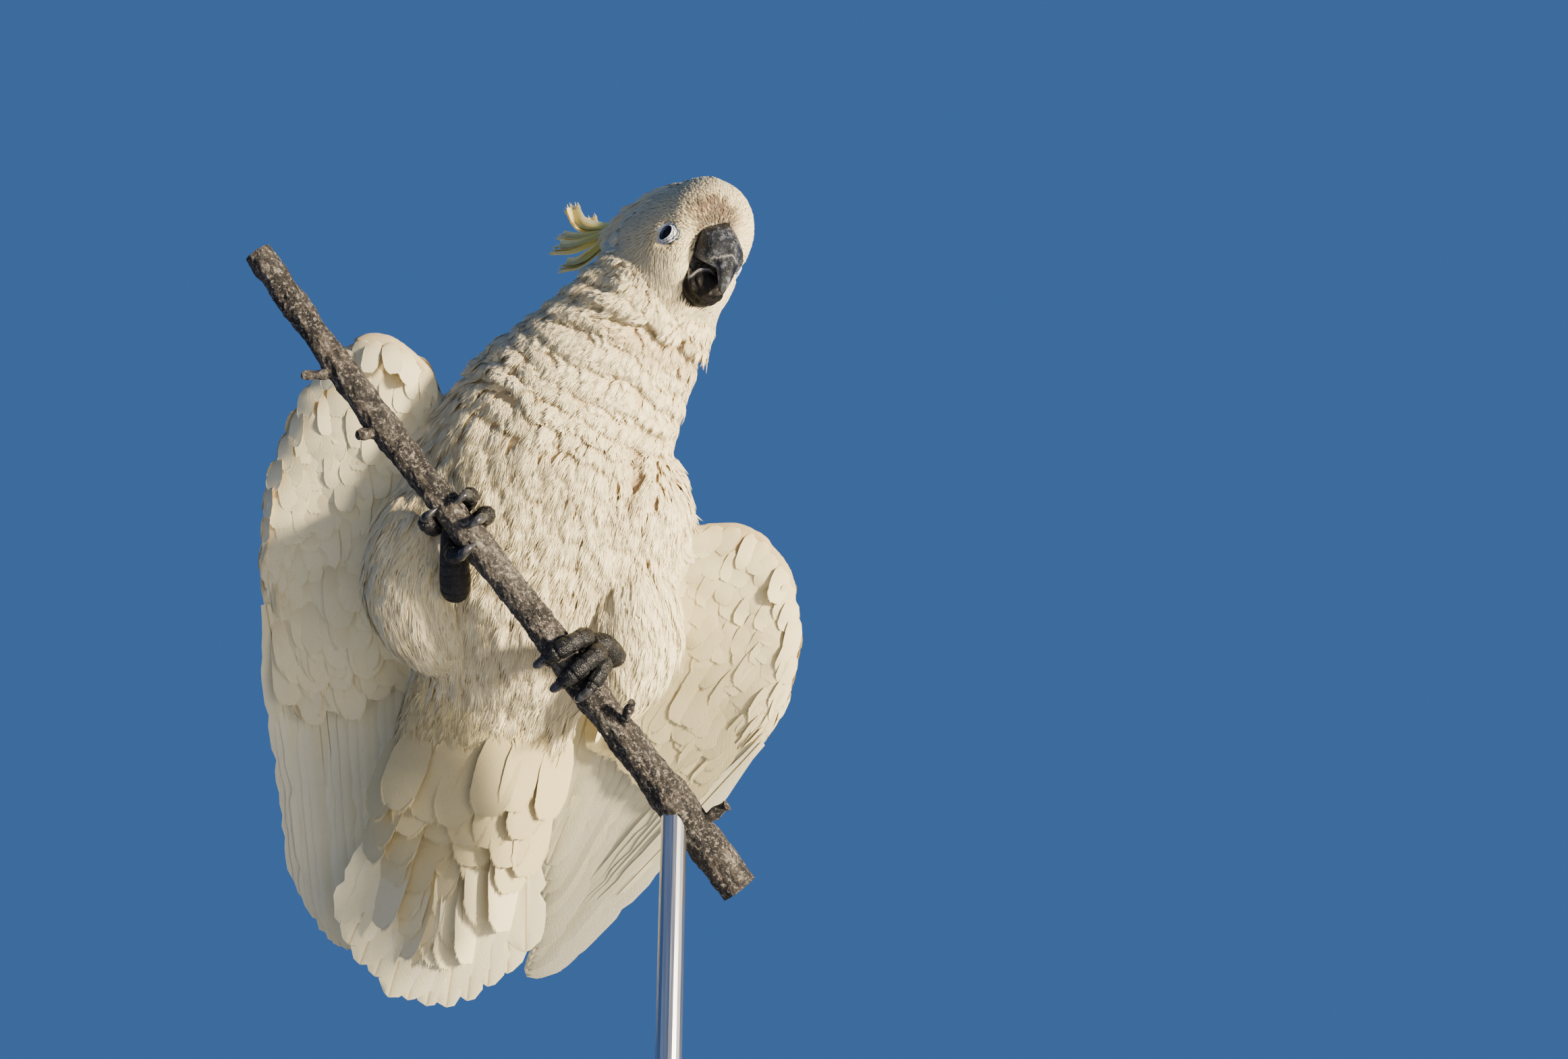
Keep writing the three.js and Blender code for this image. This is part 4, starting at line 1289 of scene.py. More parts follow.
def grow(roots, direction, length, rise, cling=0.5, follow=0.5):
    """Spines over the skin from each root, that go straight on where the skin falls away."""
    lie, steps, root_depth = roots.lie, 4, 0.8
    p, up, d = roots.at.copy(), roots.normal.copy(), direction.copy()
    spine, ups = np.empty((len(p), steps + 1, 3)), np.empty((len(p), steps + 1, 3))
    spine[:, 0], ups[:, 0] = p - up * root_depth, up
    for k in range(1, steps + 1):
        q = p + d * (length / steps)[:, None]
        found = [lie.tree.find_nearest(x) for x in q.tolist()]
        near = np.array([tuple(hit[0]) for hit in found])
        tri = np.array([hit[2] for hit in found])
        normal, flow = lie.tri_normal[tri], lie.tri_flow[tri]
        faces_same = (normal * up).sum(1) > 0.3
        hugs = faces_same & (np.linalg.norm(near - q, axis=1) < cling * length / steps + 1.2)
        hugs = hugs[:, None]
        p = np.where(hugs, near, q)
        up = np.where(hugs, unit(normal + up), up)
        d = np.where(hugs, unit(d + follow * flow), d)
        d = unit(square_to(d, up))
        spine[:, k] = p + up * (rise * (0.25 + 0.75 * (k / steps)))[:, None]
        ups[:, k] = up
    return spine, ups


def swung(roots, direction, degrees):
    """Directions turned about the skin's normal at random by up to about degrees."""
    a = rng.normal(0, math.radians(degrees) / 2, len(roots))[:, None]
    return direction * np.cos(a) + np.cross(roots.normal, direction) * np.sin(a)


# ---------------------------------------------------------------- markings and the coat

# The second of these is painted shade, near black, in the gape between the bill's halves.
CREAM, GAPE_PAINTED_SHADE = (0.80, 0.70, 0.43), 0.012
# The last of these is painted shade, under the bib's edge and in the hollow behind the cheek.
BRISTLE_BROWN, BLACK_BROWN, PAINTED_SHADE_BROWN = (0.29, 0.18, 0.08), (0.06, 0.035, 0.015), (0.52, 0.37, 0.19)
# The first of these is painted shade in the parting between the breast's feathers.
PARTING_PAINTED_SHADE, SOIL, PALE_YELLOW = (0.4, 0.28, 0.15), (0.72, 0.6, 0.44), (0.83, 0.79, 0.5)
FLIGHT_CREAM, TAIL_CREAM, CREST_CREAM = (0.79, 0.73, 0.47), (0.8, 0.73, 0.46), (0.8, 0.71, 0.47)
CREST_YELLOW = (0.97, 0.8, 0.2)
# Painted shade, in order: on the skin between the feathers, over the left wing, and on the tail's underside.
SKIN_PAINTED_SHADE, LEFT_WING_PAINTED_SHADE, TAIL_UNDERSIDE_PAINTED_SHADE = (0.66, 0.57, 0.48), (0.75, 0.71, 0.58), (0.38, 0.45, 0.64)
# Painted shade that each feather's hidden root takes, as a share of each colour taken away.
ROOT_PAINTED_SHADE = (0.2, 0.28, 0.38)  # how much of each colour a feather's hidden root lacks


def toward(colour, other, amount):
    """Colours mixed with another by an amount for each place."""
    amount = amount[:, None]
    return colour * (1 - amount) + np.array(other) * amount


def in_gape(co):
    """Places between the two halves of the bill."""
    f, u, r = of_head(co)
    roof, floor = -9 - 0.85 * (f - 13), -20.5 - 0.3 * (f - 13)
    between = (f > 14) & (np.abs(r) < 10.2) & (u < roof - 0.5) & (u > floor - 1)
    return between | ((f > 12) & (np.abs(r) < 9.3) & (u < -8) & (u > -33))


def over_gape(co):
    """Places in front of the gape, where no tuft may end."""
    f, u, _ = of_head(co)
    return (f > 20.5) & (u < -9 - 0.85 * (f - 13)) & (u > -21 - 0.3 * (f - 13))


def stain_of(co):
    """How brown and bristly the feathers are over the bill."""
    f, u, r = of_head(co)
    over = np.exp(-(np.maximum(np.hypot(u - 2, (r - 7) * 0.75) - 5, 0) / 3.8) ** 2)
    return np.clip(over * smooth((f - 16) / 10) * near_head(co, 60), 0, 1)


def markings(co, form, names):
    """The plumage's colour by place: cream white, brown over the bill and yellow under the wings, with painted shade
    under the bib, in the cheek's hollow, in the breast's parting, under the tail, over the left wing and in the gape.
    """
    f, u, r = of_head(co)
    colour = np.tile(CREAM, (len(co), 1))
    colour = toward(colour, BRISTLE_BROWN, np.clip(stain_of(co) * (0.85 + 0.6 * waves(co, 6, 3)), 0, 1))
    # Painted shade under the bib's overhanging edge and in the hollow behind the cheek.
    shade_under_bib = np.exp(-(((bib_edge(co) + 5.5) / 4.5) ** 2)) * smooth((f + 24) / 10) * near_head(co, 70)
    hollow = spot(f + 20, u + 24, 7, 5) * beside_head(r)
    colour = toward(colour, PAINTED_SHADE_BROWN, np.clip(0.65 * shade_under_bib + 0.7 * hollow, 0, 1))
    # Painted shade in the breast's parting.
    colour = toward(colour, PARTING_PAINTED_SHADE, 0.75 * cleft(co))
    colour = toward(colour, SOIL, np.clip(waves(co, 60, 5) - 0.2, 0, 1) * 0.22)
    yellow = np.zeros(len(co))
    for k, name in enumerate(names):
        here = form == k
        if name.startswith("wing"):
            yellow = np.where(here, 0.32 * smooth((30 - co[:, 1]) / 30), yellow)
        if name == "tail":
            yellow = np.where(here, 0.18, yellow)
            # Painted shade on the tail's underside, which also turns it yellower.
            underside_shade = 0.9 * smooth((24 - co[:, 1]) / 16)[:, None]
            colour = np.where(here[:, None], colour * (1 - underside_shade * TAIL_UNDERSIDE_PAINTED_SHADE), colour)
        # Painted shade over the left wing.
        if name == "wing_left":
            colour = np.where(here[:, None], colour * LEFT_WING_PAINTED_SHADE, colour)
    colour = toward(colour, PALE_YELLOW, yellow)
    # Painted shade: near black in the gape.
    return np.where(in_gape(co)[:, None], GAPE_PAINTED_SHADE, colour)


def painted_root_shade(colour, v, depth=1.0):
    """Painted shade: each feather is darker and warmer towards its hidden root, as shade falls between feathers, and
    slightly pale at its tip.
    """
    hidden = (1 - smooth(v * 1.5))[..., None] * depth
    return colour * (1.02 - hidden * ROOT_PAINTED_SHADE)


def clear_of_bill(spine, bill):
    """Spines with their points pushed out of the bill, so that fringes lie over it."""
    flat = spine.reshape(-1, 3)
    close = np.linalg.norm(flat - in_head(22, -18), axis=1) < 34
    for k in np.flatnonzero(close):
        place, normal, _, away = (np.array(part) for part in bill.find_nearest(tuple(flat[k])))
        if (flat[k] - place) @ normal < 0.5 and away < 4:
            flat[k] = place + normal * 0.55
    return flat.reshape(spine.shape)


def regions(lie, t_body):
    """The skin's vertices by the piece of coat that grows there."""
    co = lie.co
    f, u, _ = of_head(co)
    on_body, on_head, on_tail = (lie.is_form(name) for name in ("body", "head", "tail"))
    head = on_head & (f > -30) | (on_body & (t_body > 0.9))
    neck = on_body & (t_body > 0.6) & ~head | (on_head & ~head)
    trunk = on_body & ~head & ~neck & (cleft(co) < 0.6)
    is_front = co[:, 1] < 12
    is_left = co[:, 0] > Curve(BODY["spine"]).at(t_body)[:, 0]
    is_feathered = ~((socket_away(co) < 4.9) & on_head)
    is_top = np.maximum((u - 17 - 0.35 * f) / 6, (-14 - f) / 6) + 0.4 * waves(co, 20, 41) > 0
    down_tail = smooth((-60 - co[:, 2]) / 60)
    return dict(
        head=head & is_feathered & ~in_gape(co) & ~is_top,
        crown=head & is_feathered & is_top,
        neck=neck & is_feathered,
        breast_left=trunk & is_front & is_left,
        breast_right=trunk & is_front & ~is_left,
        back=trunk & ~is_front,
        rump=on_tail & (down_tail > 0.2) & (lie.normal[:, 1] > -0.1),
        vent=on_tail & (down_tail < 0.55))


def body_sizes(co, t_body, is_back):
    """Lengths, half widths and spacings of the body's feathers, shortened to end at a row's edge."""
    def by_station(values):
        return np.interp(t_body, np.linspace(0, 1, len(values)), values)

    length = by_station([24, 25, 25, 23, 21, 19, 17, 14, 11, 9])
    half = by_station([4.2, 4.2, 4.0, 3.7, 3.5, 3.2, 2.9, 2.5, 2.0, 1.7])
    spacing = by_station([4.4, 4.2, 4.0, 3.7, 3.5, 3.3, 3.0, 2.7, 2.3, 2.0])
    row, neck, breast = ledges(co)
    to_edge = (1 - row) * LEDGE * 1.1 + 4.0
    shorter = np.minimum(to_edge + 6 * (1 - neck), length) - length
    length = length + shorter * np.clip(neck + 0.75 * breast, 0, 1)
    return length, np.where(is_back, half * 1.7, half), np.where(is_back, spacing * 1.35, spacing)


def face_sizes(co):
    """Lengths of the face's tufts, shortest by the bill and eyes, and how far they stand up."""
    f, u, _ = of_head(co)
    near_bill = smooth((f - 6) / 20)
    cheek = smooth((-u - 6) / 12) * smooth((f + 20) / 12)
    over_bib = smooth((bib_edge(co) + 1) / 3) * smooth((14 - bib_edge(co)) / 8)
    length = 6.4 - 1.9 * near_bill + 2.4 * cheek + 3.0 * over_bib
    length = length * (0.6 + 0.4 * smooth((socket_away(co) - 5) / 7))
    bristle = 1 + 0.5 * smooth((f - 18) / 8) * smooth((u + 2) / 6)
    return length * 1.12, 0.6 * bristle


def grow_coat(skin, trees, bill, plumage):
    """Colour the skin, with painted shade between the feathers, and cover it with the coat's pieces from bill to tail.
    """
    lie = Lie(skin, trees)
    co = lie.co
    t_body = Curve(BODY["spine"]).place_of(co)
    at_bill = np.array([bill.find_nearest(p)[3] for p in co.tolist()])
    # Painted shade on the skin between the feathers, darkest in a line along the bill's edge.
    shade_by_bill = (1 - 0.9 * smooth((3.2 - at_bill) / 1.6))[:, None]
    paint(skin.data, markings(co, lie.form, lie.names) * SKIN_PAINTED_SHADE * shade_by_bill)
    where = regions(lie, t_body)
    length, half, spacing = body_sizes(co, t_body, where["back"])
    face_length, face_lift = face_sizes(co)

    silky = [soft_plume(0.17, 0.36, 28, spread=12, tip_at=0.66, start=0.2, cover=0.9) for _ in range(5)]
    wispy = silky + [strand_plume(0.2, 13, spread=13, thick=0.08) for _ in range(3)]
    neat = [soft_plume(0.22, 0.1, 16, spread=20, tip_at=0.92, start=0.6) for _ in range(4)]
    loose = [soft_plume(0.2, 0.3, 32, spread=17, start=0.2, tip_at=0.76, cover=0.9) for _ in range(4)]
    fine = [strand_plume(0.2, 5, spread=12, thick=0.15) for _ in range(5)]
    vaned = [covert_plume() for _ in range(5)]
    hem = smooth((6.0 - at_bill) / 4.0)

    def field(value):
        return value if isinstance(value, np.ndarray) else np.full(len(co), float(value))

    def coat(name, mask, plumes, long=length, wide=half, apart=spacing, lift=3.6, turn=14, tilt=0.12,
             depth=1.0, **growth):
        roots = lie.scatter(field(apart), mask)
        size = rng.uniform(0.85, 1.15, len(roots))
        spine, up = grow(roots, swung(roots, roots.flow, turn), roots.read(field(long)) * size,
                         roots.read(field(lift)) * rng.uniform(0.8, 1.2, len(roots)), **growth)
        shade = markings(roots.at, roots.form, lie.names) * rng.uniform(0.95, 1.04, (len(roots), 1))
        is_streak = rng.uniform(0, 1, len(roots)) < 0.5 + 0.4 * roots.read(hem)
        shade = toward(np.clip(shade, 0, 1), BLACK_BROWN, stain_of(roots.at) * is_streak)
        if name == "head":
            spine = clear_of_bill(spine, bill)
            keep = ~over_gape(spine[:, -1])
            roots, spine, up, size, shade = roots.only(keep), spine[keep], up[keep], size[keep], shade[keep]
        made = Coat(f"coat_{name}")
        # Painted shade darkens each feather towards its root, as deep as depth says.
        made.add(plumes, spine, up, roots.read(field(wide)) * size, roots.uv, shade,
                 roll=rng.normal(0, tilt, len(roots)), fade=lambda colour, v: painted_root_shade(colour, v, depth))
        made.finish(plumage, "plumage", softness=0.55)

    coat("head", where["head"], fine, face_length, 1.2, 0.97, lift=face_lift, turn=9, depth=0.7, cling=0.9)
    coat("crown", where["crown"], neat, 8.5, 2.1, 1.75, lift=1.2, turn=8, cling=0.9)
    coat("neck", where["neck"], silky, wide=half * 1.1, lift=1.4, turn=7, tilt=0.05, cling=0.15)
    for breast in ("breast_left", "breast_right"):
        coat(breast, where[breast], wispy, apart=spacing * 0.86, lift=3.2, turn=20)
    coat("back", where["back"], neat, turn=10)
    for side in THIGHS:
        coat(f"thigh_{side}", lie.is_form(f"thigh_{side}"), loose, 25, 4.2, 3.1, lift=5.8, turn=20)
    coat("rump", where["rump"], neat, 26, 6.0, 5.6, lift=2.2, turn=9, cling=0.3)
    coat("vent", where["vent"], loose, 24, 5.2, 3.6, lift=3.4, turn=16, cling=0.2)
    tail_coverts(lie, plumage, vaned)

    flight = plumage_look("flight_feathers", has_shaft=True)
    for side, wing in WINGS.items():
        wing_coverts(side, wing, lie, plumage, vaned)
        flight_feathers(side, wing, flight)
    tail_feathers(flight)


# ---------------------------------------------------------------- wings and tail

FIRST_SEED = {"left": 50, "right": 0, "tail": 200}  # of the feathers' worn edges


def wing_coverts(side, wing, lie, plumage, plumes):
    """Overlapping rows of coverts over both faces of the wing, growing from the leading edge back."""
    lead, covers, tips = (Curve(wing[line]) for line in ("lead", "covers", "tips"))
    half_at = profile(wing["arm_half"])
    made = Coat(f"coat_wing_{side}")
    for face in (-1, 1):
        places, ways, rows = [], [], []
        for row, c in enumerate(np.linspace(0.02, 0.93, 11)):
            t = np.arange(0.0, 1.001, 0.052 + 0.012 * c) + (row % 2) * 0.03
            t = t[t <= 1.0]
            t = t + rng.uniform(-0.006, 0.006, len(t))
            front, rear = lead.at(t), covers.at(t)
            run = unit(lead.at(t + 0.01) + covers.at(t + 0.01) - (lead.at(t - 0.01) + covers.at(t - 0.01)))
            across = unit(np.cross(run, unit(front - rear)))
            across *= np.sign(across[:, 1:2]) * face
            bulge = np.sqrt(np.maximum(1 - (2 * c - 1) ** 2, 0.02)) * half_at(t)
            places.append(front * (1 - c) + rear * c + across * bulge[:, None])
            ways.append(unit(unit(rear - front) + (0.25 + 0.9 * c) * unit(tips.at(t) - rear)))
            rows.append(np.full(len(t), c))
        c = np.concatenate(rows)
        roots = lie.nearest(np.vstack(places))
        way = np.vstack(ways)
        # The rows towards the flight feathers leave the skin and lie over them.
        free = smooth((c - 0.55) / 0.25)[:, None]
        way = unit(unit(square_to(way, roots.normal)) * (1 - free) + way * free)
        roots.normal = unit(square_to(roots.normal, way))
        length = (19 + 26 * c**1.4) * rng.uniform(0.88, 1.15, len(c))
        cling = np.where(c > 0.6, -1, 0.12)
        spine, up = grow(roots, swung(roots, way, 8), length, 1.3 + 0.4 * c, cling=cling, follow=0.15)
        shade = markings(roots.at, roots.form, lie.names) * rng.uniform(0.96, 1.03, (len(c), 1))
        made.add(plumes, spine, up, (4.8 + 3.2 * c) * rng.uniform(0.9, 1.15, len(c)), roots.uv, shade,
                 roll=rng.normal(0, 0.08, len(c)), fade=painted_root_shade)
    made.finish(plumage, "plumage")


def bowed(root, tip, face, bow):
    """A long feather's spine, bowed towards its face, and its upper side."""
    s = np.linspace(0, 1, 9)
    spine = root + (tip - root) * s[:, None] + face * (np.sin(s * math.pi) * bow)[:, None]
    return spine, np.broadcast_to(face, spine.shape)


def flight_feathers(side, wing, plumage):
    """Ten secondaries and ten primaries, each under the one before it."""
    lead, covers, tips = (Curve(wing[line]) for line in ("lead", "covers", "tips"))
    index = 0
    groups = {"secondaries": np.linspace(0, 0.5, 10), "primaries": np.linspace(0.555, 1, 10)}
    for group, stations in groups.items():
        made = Coat(f"feathers_{side}_{group}")
        for t in stations:
            place = index * 10 / 19
            root = lead.at(t) * 0.58 + covers.at(t) * 0.42
            tip = tips.at(t)
            run = covers.along(t)
            face = unit(np.cross(tip - root, run))
            face = face * (-1 if face[1] > 0 else 1)
            root, tip = root + face * (0.8 * place - 2), tip + face * (1.1 * place - 3)
            gap = np.linalg.norm(tips.at(min(t + 0.026, 1)) - tips.at(max(t - 0.026, 0)))
            spine, up = bowed(root, tip, face, wing["bow"] * t + 3)
            narrow_side = 1 if face @ np.cross(run, tip - root) > 0 else -1
            plume = quill_plume(0.35, 0.18 * narrow_side, FIRST_SEED[side] + index)
            tone = np.array(FLIGHT_CREAM) * rng.uniform(0.93, 1.04)
            width = max(0.5 * 0.95 * gap * 1.45, 7.6) + 4 * smooth((0.12 - t) / 0.12)
            made.add_one(plume, spine, up, width, rng.uniform(0.1, 0.9, 2), tone,
                         rng.normal(0, 0.05), thick=0.8)
            index += 1
        made.finish(plumage, "plumage", f"wing_{side}_{group}")


def tail_coverts(lie, plumage, plumes):
    """Broad smooth coverts in rows under the tail, each row over the one behind it."""
    line = Curve(TAIL_COVERTS["spine"])
    wide_at, deep_at = profile(TAIL_COVERTS["width"]), profile(TAIL_COVERTS["depth"])
    places, ways, ups, sizes = [], [], [], []
    for row, t in enumerate(np.linspace(0.93, 0.34, 7)):
        count = 7 - row % 2
        for k in range(count):
            across = (k - (count - 1) / 2) / 3.4
            turn = across * 1.45 + rng.uniform(-0.06, 0.06)
            out = np.array((math.sin(turn), -math.cos(turn), 0.0))
            away = wide_at(t) * abs(math.sin(turn)) + deep_at(t) * abs(math.cos(turn)) - 2.0
            aside = np.array((0.16 * across, 0.0, 0.0))
            places.append(line.at(t) + out * away)
            ways.append(unit(line.along(t) + aside + rng.normal(0, 0.03, 3) - 0.04 * out))
            ups.append(unit(out + np.array((0.0, -0.7, 0.0))))
            length = rng.uniform(0.92, 1.08) * (60 - 1.5 * row)
            sizes.append((length, rng.uniform(12.5, 14.5) - 0.5 * row, row))
    roots = lie.nearest(places)
    up, way = np.array(ups)[:, None], np.array(ways)[:, None]
    length, half, row = np.array(sizes, float).T
    s = np.linspace(0, 1, 6)[None, :, None]
    rise = 0.9 * np.sin(s * math.pi * 0.8) + 0.3 * row[:, None, None]
    spine = roots.at[:, None] - up * (1.5 * (1 - s)) + way * length[:, None, None] * s + up * rise
    shade = markings(roots.at, roots.form, lie.names) * rng.uniform(0.95, 1.04, (len(roots), 1))
    made = Coat("coat_tail")
    made.add(plumes, spine, np.broadcast_to(up, spine.shape), half, roots.uv, shade,
             roll=rng.normal(0, 0.06, len(roots)), fade=lambda colour, v: painted_root_shade(colour, v, 0.6))
    made.finish(plumage, "plumage")


def tail_feathers(plumage):
    """A fan of long feathers, the middle ones longest."""
    made = Coat("feathers_tail")
    for i in range(TAIL_FEATHERS):
        place = i / (TAIL_FEATHERS - 1) - 0.5
        bearing = math.radians(-15 + 26 * place)
        length = TAIL_LENGTH * (1 - 0.2 * abs(2 * place) ** 1.8) * rng.uniform(0.97, 1.01)
        away = unit((math.sin(bearing), TAIL_RAKE, -math.cos(bearing)))
        root = TAIL_ROOT + (36 * place, -1.5 * abs(2 * place) - 0.25 * (i % 2), 0)
        spine, up = bowed(root, root + away * length, np.array((0.0, -1.0, 0.0)), 2 - 4 * abs(place))
        plume = quill_plume(0.7, 0.12 * np.sign(place), FIRST_SEED["tail"] + i, blunt=0.86)
        made.add_one(plume, spine, up, 11.5, rng.uniform(0.1, 0.9, 2),
                     np.array(TAIL_CREAM) * rng.uniform(0.94, 1.03), rng.normal(0, 0.04), thick=0.7)
    made.finish(plumage, "plumage", "tail")


# ---------------------------------------------------------------- crest

CREST_BUNDLE = dict(
    spine=[(14, 33), (-6, 37.5), (-28, 38), (-50, 36), (-70, 34)], width=[6, 12, 13, 11, 6],
    depth=[2.5, 6, 7, 6.5, 4])
# Each yellow plume's root, bend and tip in the head's axes, and its half width.
CREST_BLADES = [
    ((-50, 37, 3), (-85, 55, 5), (-98, 77, 6), 5.5),
    ((-50, 37, -3), (-82, 53, -3), (-94, 71, -4), 5.0),
    ((-50, 35, 6), (-84, 46, 7), (-106, 60, 6), 3.6),
    ((-50, 33, 8), (-82, 38, 9), (-101, 46, 11), 5.0),
    ((-50, 31, 8), (-72, 23, 11), (-87, 27, 13), 4.6),
]


def yellower(colour, v):
    """Crest plumes are deeper yellow at their roots than at their tips."""
    return colour * np.stack([1.0 + 0 * v, 1.0 + 0 * v, 0.6 + 0.9 * smooth(v)], -1)


def white_crest():
    """White plumes folded back along the crown, draped either side of it."""
    made = Coat("crest_white")
    bundle = Curve([(f, u, 0) for f, u in CREST_BUNDLE["spine"]])
    wide_at, deep_at = profile(CREST_BUNDLE["width"]), profile(CREST_BUNDLE["depth"])
    for _ in range(240):
        start = rng.uniform(0.0, 0.72)
        turn = rng.uniform(-0.25, 1.25) * math.pi
        t = np.minimum(start + np.linspace(0, 1, 6) * rng.uniform(0.2, 0.34), 1.12)
        line = bundle.at(t) + bundle.along(t) * (np.maximum(t - 1, 0) * 80)[:, None]
        swell = np.linspace(-2.0, rng.uniform(-0.6, 1.6), 6)
        side = math.cos(turn) * (wide_at(t) * 1.15 + swell) * np.where(t > 0.9, 0.8, 1)
        lift = math.sin(turn) * (deep_at(t) + swell) - 5.5 * math.cos(turn) ** 2
        spine = [in_head(f, u + rise, r) for (f, u, _), rise, r in zip(line, lift, side)]
        up = np.tile(unit(CROWNWARD * math.sin(turn) * 1.4 + RIGHTWARD * math.cos(turn)), (6, 1))
        made.add_one(soft_plume(0.17, 0.2, 16, spread=16), spine, up, 2.6 + 1.6 * start,
                     rng.uniform(0.1, 0.9, 2), np.array(CREST_CREAM) * rng.uniform(0.92, 1.04),
                     rng.normal(0, 0.35), fade=painted_root_shade)
    return made


def yellow_crest():
    """The long plumes, three to a blade, that curl up behind the crown."""
    made = Coat("crest_yellow")
    facing = unit(0.6 * RIGHTWARD + 0.9 * FORWARD + 0.3 * CROWNWARD)
    for root, bend, tip, half in CREST_BLADES:
        for k in range(3):
            part = k - 1
            points = [in_head(f + part * half * 0.3 * g, u + part * half * 0.36 * g, r + 0.6 * k)
                      for (f, u, r), g in zip((root, bend, tip), (0.3, 0.7, 1.0))]
            spine = Curve(points).at(np.linspace(0, rng.uniform(0.88, 1.0), 8))
            plume = curled_plume(int(root[2] * 7 + k + 400))
            made.add_one(plume, spine, np.tile(facing, (8, 1)), half * 0.66, rng.uniform(0.1, 0.9, 2),
                         np.array(CREST_YELLOW) * rng.uniform(0.93, 1.05),
                         0.25 * part + rng.normal(0, 0.12), fade=yellower)
    return made


def build_crest(plumage):
    white, yellow = white_crest(), yellow_crest()
    white.finish(plumage, "plumage", "crest")
    yellow.finish(crest_look(), "crest_yellow", "crest")


# ---------------------------------------------------------------- bill and eyes

RIM_DIP_AT, RIM_DIP_RUN = 0.6, 0.13


def keeled(cos, sin, t):
    """The upper bill's section: a narrow ridge over broad flat edges."""
    ridge = 1.45 + 0.8 * (1 - smooth((t - 0.1) / 0.3))
    return np.sign(cos) * np.abs(cos) ** np.where(sin < 0, 0.25, ridge), sin


def scooped(cos, sin, t):
    """The lower bill's section: a round underside, and walls that stand up round a hollow."""
    is_wall = -sin < 0.5
    wall = np.clip(-sin / 0.5, 0, 1)
    floor = smooth((-sin - 0.5) / 0.5)
    dip = 0.36 * np.exp(-(((t - RIM_DIP_AT) / RIM_DIP_RUN) ** 2))
    inward = np.where(is_wall, 1, 1 - np.clip((-sin - 0.5) / 0.5, 0, 1))
    wide = np.where(sin < 0, np.sign(cos) * inward, cos)
    deep = np.where(sin < 0, (-wall + floor * 0.55 * (1 - smooth((t - 0.6) / 0.3))) * (1 - dip), sin)
    return wide, deep


def ridge_line(t, turn):
    """A low ridge along the top of the upper bill."""
    return 0.8 * np.exp(-((np.sin(turn) - 1) * 5) ** 2) * smooth(t * 4) * smooth((1 - t) * 3)


def growth_steps(t, turn):
    """Shallow steps across the lower bill, and thicker edges."""
    steps = 0.35 * np.sin(t * 34) * (np.sin(turn) > 0) * smooth(t * 3)
    return steps + 0.5 * np.exp(-(np.cos(turn) * 6) ** 2)


def off_edge(co, lines):
    """Where places are along a bill's edge, and how far they are from it in the middle plane."""
    edge = Curve([in_head(*place) for place in lines["inner"]])
    place = edge.place_of(co)
    off = co - edge.at(place)
    return place, np.linalg.norm(off - (off @ RIGHTWARD)[:, None] * RIGHTWARD, axis=1)


def upper_wear(co):
    """Pale wear along the upper bill's edge, behind its bulge and along a crack over the hook."""
    f, u, r = of_head(co)
    _, away = off_edge(co, UPPER_BILL)
    edge = np.exp(-((away / 1.7) ** 2)) * smooth((np.abs(r) - 1.2) / 2)
    edge = edge * (0.6 + 0.4 * waves(co, 4, 21)) * smooth((f - 18) / 4)
    rear = 0.83 * (f - 20) - 0.555 * (u + 11)
    seam = 0.55 * np.exp(-(((rear - 1.0) / 0.8) ** 2)) * (0.7 + 0.5 * waves(co, 5, 22))
    from_crack = u + 21.5 - 1.6 * np.exp(-(((r - 1) / 2.5) ** 2)) + 0.5 * waves(co, 3, 23)
    crack = 0.55 * np.exp(-((from_crack / 0.42) ** 2)) * smooth((f - 31) / 2) * smooth((r + 4) / 2)
    return edge + seam + crack, np.zeros(len(co))


def lower_wear(co):
    """Pale wear along the lower bill's rim, and how far inside its scoop places are, which sets the painted shade
    there.
    """
    _, _, r = of_head(co)
    place, away = off_edge(co, LOWER_BILL)
    rim = away - 5.8 * np.exp(-(((place - RIM_DIP_AT) / RIM_DIP_RUN) ** 2))
    wear = np.exp(-((rim / 1.1) ** 2)) * smooth((np.abs(r) - 1.2) / 2) * (0.75 + 0.3 * waves(co, 4, 21))
    return wear, smooth((6 - away) / 2) * smooth((7.6 - np.abs(r)) / 1.2)


def build_bill():
    """A keeled hook over a scoop whose rim dips either side of its middle, and a search tree of both."""
    upper = ball("bill_upper", 112, 112, head_shape(UPPER_BILL, relief=ridge_line, section=keeled))
    lower = ball("bill_lower", 112, 80, head_shape(LOWER_BILL, relief=growth_steps, section=scooped))
    for piece, wear_of in ((upper, upper_wear), (lower, lower_wear)):
        wear, inside = wear_of(laid(verts_of(piece)))
        # Inside the scoop the wear is less and the painted shade is darkest.
        wear = np.clip(wear, 0, 1) * (1 - 0.5 * inside)
        paint(piece.data, np.stack([wear, inside, wear], -1))
    dressed(upper, horn_look(), "bill_horn", "beak_upper")
    dressed(lower, dark_horn_look(), "bill_horn", "beak_lower")
    return tree_of(upper, lower)


